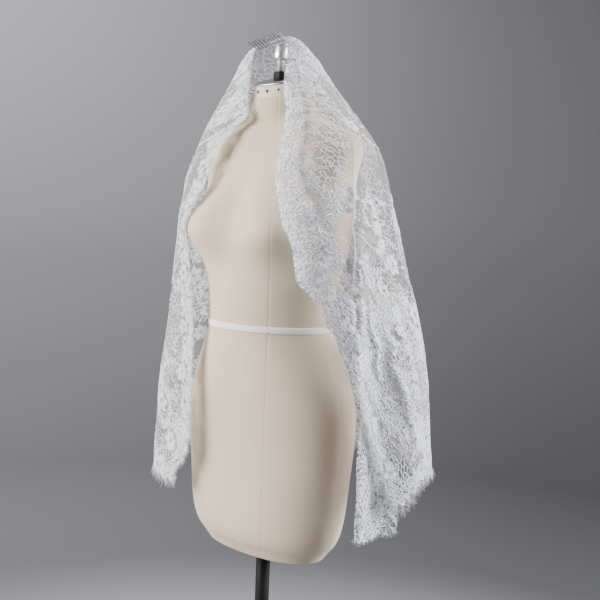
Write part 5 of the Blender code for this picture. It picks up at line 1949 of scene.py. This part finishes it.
OPERATORS = (VEIL_OT_lace, VEIL_OT_cords, VEIL_OT_fringe, VEIL_OT_comb, VEIL_OT_form, VEIL_OT_neck, VEIL_OT_stand,
             VEIL_OT_stage)


class VEIL_PT_panel(bpy.types.Panel):
    """Buttons and settings of the veil on its form"""

    bl_idname = "VEIL_PT_panel"
    bl_label = "Lace Veil on Dress Form"
    bl_space_type = "VIEW_3D"
    bl_region_type = "UI"
    bl_category = "Veil"

    def draw(self, context):
        layout, scene = self.layout, context.scene
        for operator in OPERATORS:
            layout.operator(operator.bl_idname)
        for settings in (scene.veil_settings, scene.form_settings, scene.stand_settings, scene.stage_settings):
            box = layout.box()
            for name in settings.__annotations__:
                box.prop(settings, name)


SETTINGS = {
    "veil_settings": VeilSettings, "form_settings": FormSettings, "stand_settings": StandSettings,
    "stage_settings": StageSettings,
}


def register():
    for cls in (*SETTINGS.values(), *OPERATORS, VEIL_PT_panel):
        bpy.utils.register_class(cls)
    for name, cls in SETTINGS.items():
        setattr(bpy.types.Scene, name, PointerProperty(type=cls))


def unregister():
    for name in SETTINGS:
        delattr(bpy.types.Scene, name)
    for cls in reversed((*SETTINGS.values(), *OPERATORS, VEIL_PT_panel)):
        bpy.utils.unregister_class(cls)


# Stage

def build_stage(stage):
    """A round sweep with a coved foot, soft lights and an even room light."""
    profile = [(r, 0.0) for r in (0.0, 0.3, 0.6, 0.9, 1.3, 1.8, 2.4, 3.0)]
    profile += [(3.0 + 0.9 * math.sin(q), 0.9 - 0.9 * math.cos(q)) for q in np.linspace(0.1, math.pi / 2, 12)]
    profile += [(3.9, z) for z in (1.3, 1.9, 2.6, 3.4)]
    angles = np.linspace(0.0, 2.0 * math.pi, 96, endpoint=False)
    verts = [(r * math.cos(q), r * math.sin(q), z - 0.0005) for r, z in profile[1:] for q in angles]
    faces = grid_faces(len(profile) - 1, 96, wrap=True)
    verts.append((0.0, 0.0, -0.0005))
    faces += [((k + 1) % 96, len(verts) - 1, k) for k in range(96)]
    sweep = piece("studio_floor", verts, faces, stage_finish(stage))

    def lamp(name, place, target, power, width, height, colour):
        data = bpy.data.lights.new(name, "AREA")
        data.shape, data.size, data.size_y = "RECTANGLE", width, height
        data.energy, data.color = power, colour
        ob = bpy.data.objects.new(name, data)
        bpy.context.scene.collection.objects.link(ob)
        ob.location = place
        ob.rotation_euler = (Vector(target) - Vector(place)).to_track_quat("-Z", "Y").to_euler()

    lamp("key_light", (-1.6, -2.6, 2.1), (0.0, 0.0, 1.0), stage.key_power, 2.6, 2.4, (1.0, 0.985, 0.965))
    lamp("fill_light", (1.9, 2.0, 2.0), (0.1, 0.0, 1.0), stage.fill_power, 1.4, 1.4, (0.96, 0.975, 1.0))
    lamp("sweep_light", (-1.9, 0.3, 2.9), (-3.6, 1.2, 1.2), stage.wall_power, 1.0, 1.0, (0.98, 0.98, 1.0))
    world = bpy.data.worlds.new("room")
    world.use_nodes = True
    world.node_tree.nodes["Background"].inputs[0].default_value = (0.93, 0.95, 1.0, 1.0)
    world.node_tree.nodes["Background"].inputs[1].default_value = stage.sky_level
    bpy.context.scene.world = world


def place_camera():
    """The photograph's viewpoint: 45 degrees to the wearer's left, 1.8 m away, at chest height."""
    turn, far, focal, roll = math.radians(45.0), 1.80, 1028.0, math.radians(2.2)
    spot = Vector((far * math.sin(turn), -far * math.cos(turn), 1.2057))
    ahead, right = Vector((-math.sin(turn), math.cos(turn), 0.0)), Vector((math.cos(turn), math.sin(turn), 0.0))
    ox, oy = -24.0, -95.0
    ux, uy = ox * math.cos(roll) + oy * math.sin(roll), -ox * math.sin(roll) + oy * math.cos(roll)
    yaw = math.atan2(-ux, focal)
    pitch = math.atan2(-uy, math.hypot(focal, ux))
    level = ahead * math.cos(yaw) + right * math.sin(yaw)
    right = right * math.cos(yaw) - ahead * math.sin(yaw)
    view = level * math.cos(pitch) - Vector((0.0, 0.0, 1.0)) * math.sin(pitch)
    up = Vector((0.0, 0.0, 1.0)) * math.cos(pitch) + level * math.sin(pitch)
    across = right * math.cos(roll) + up * math.sin(roll)
    above = up * math.cos(roll) - right * math.sin(roll)
    data = bpy.data.cameras.new("camera")
    data.sensor_width, data.lens = 36.0, focal * 36.0 / 600.0
    ob = bpy.data.objects.new("camera", data)
    bpy.context.scene.collection.objects.link(ob)
    turned = Matrix((across, above, -view)).transposed().to_4x4()
    ob.matrix_world = Matrix.Translation(spot) @ turned
    bpy.context.scene.camera = ob


def main():
    register()
    for build in (bpy.ops.veil.build_lace, bpy.ops.veil.build_cords, bpy.ops.veil.build_fringe,
                  bpy.ops.veil.build_comb, bpy.ops.veil.build_form, bpy.ops.veil.build_neck,
                  bpy.ops.veil.build_stand, bpy.ops.veil.build_stage):
        build()


if __name__ == "__main__":
    main()
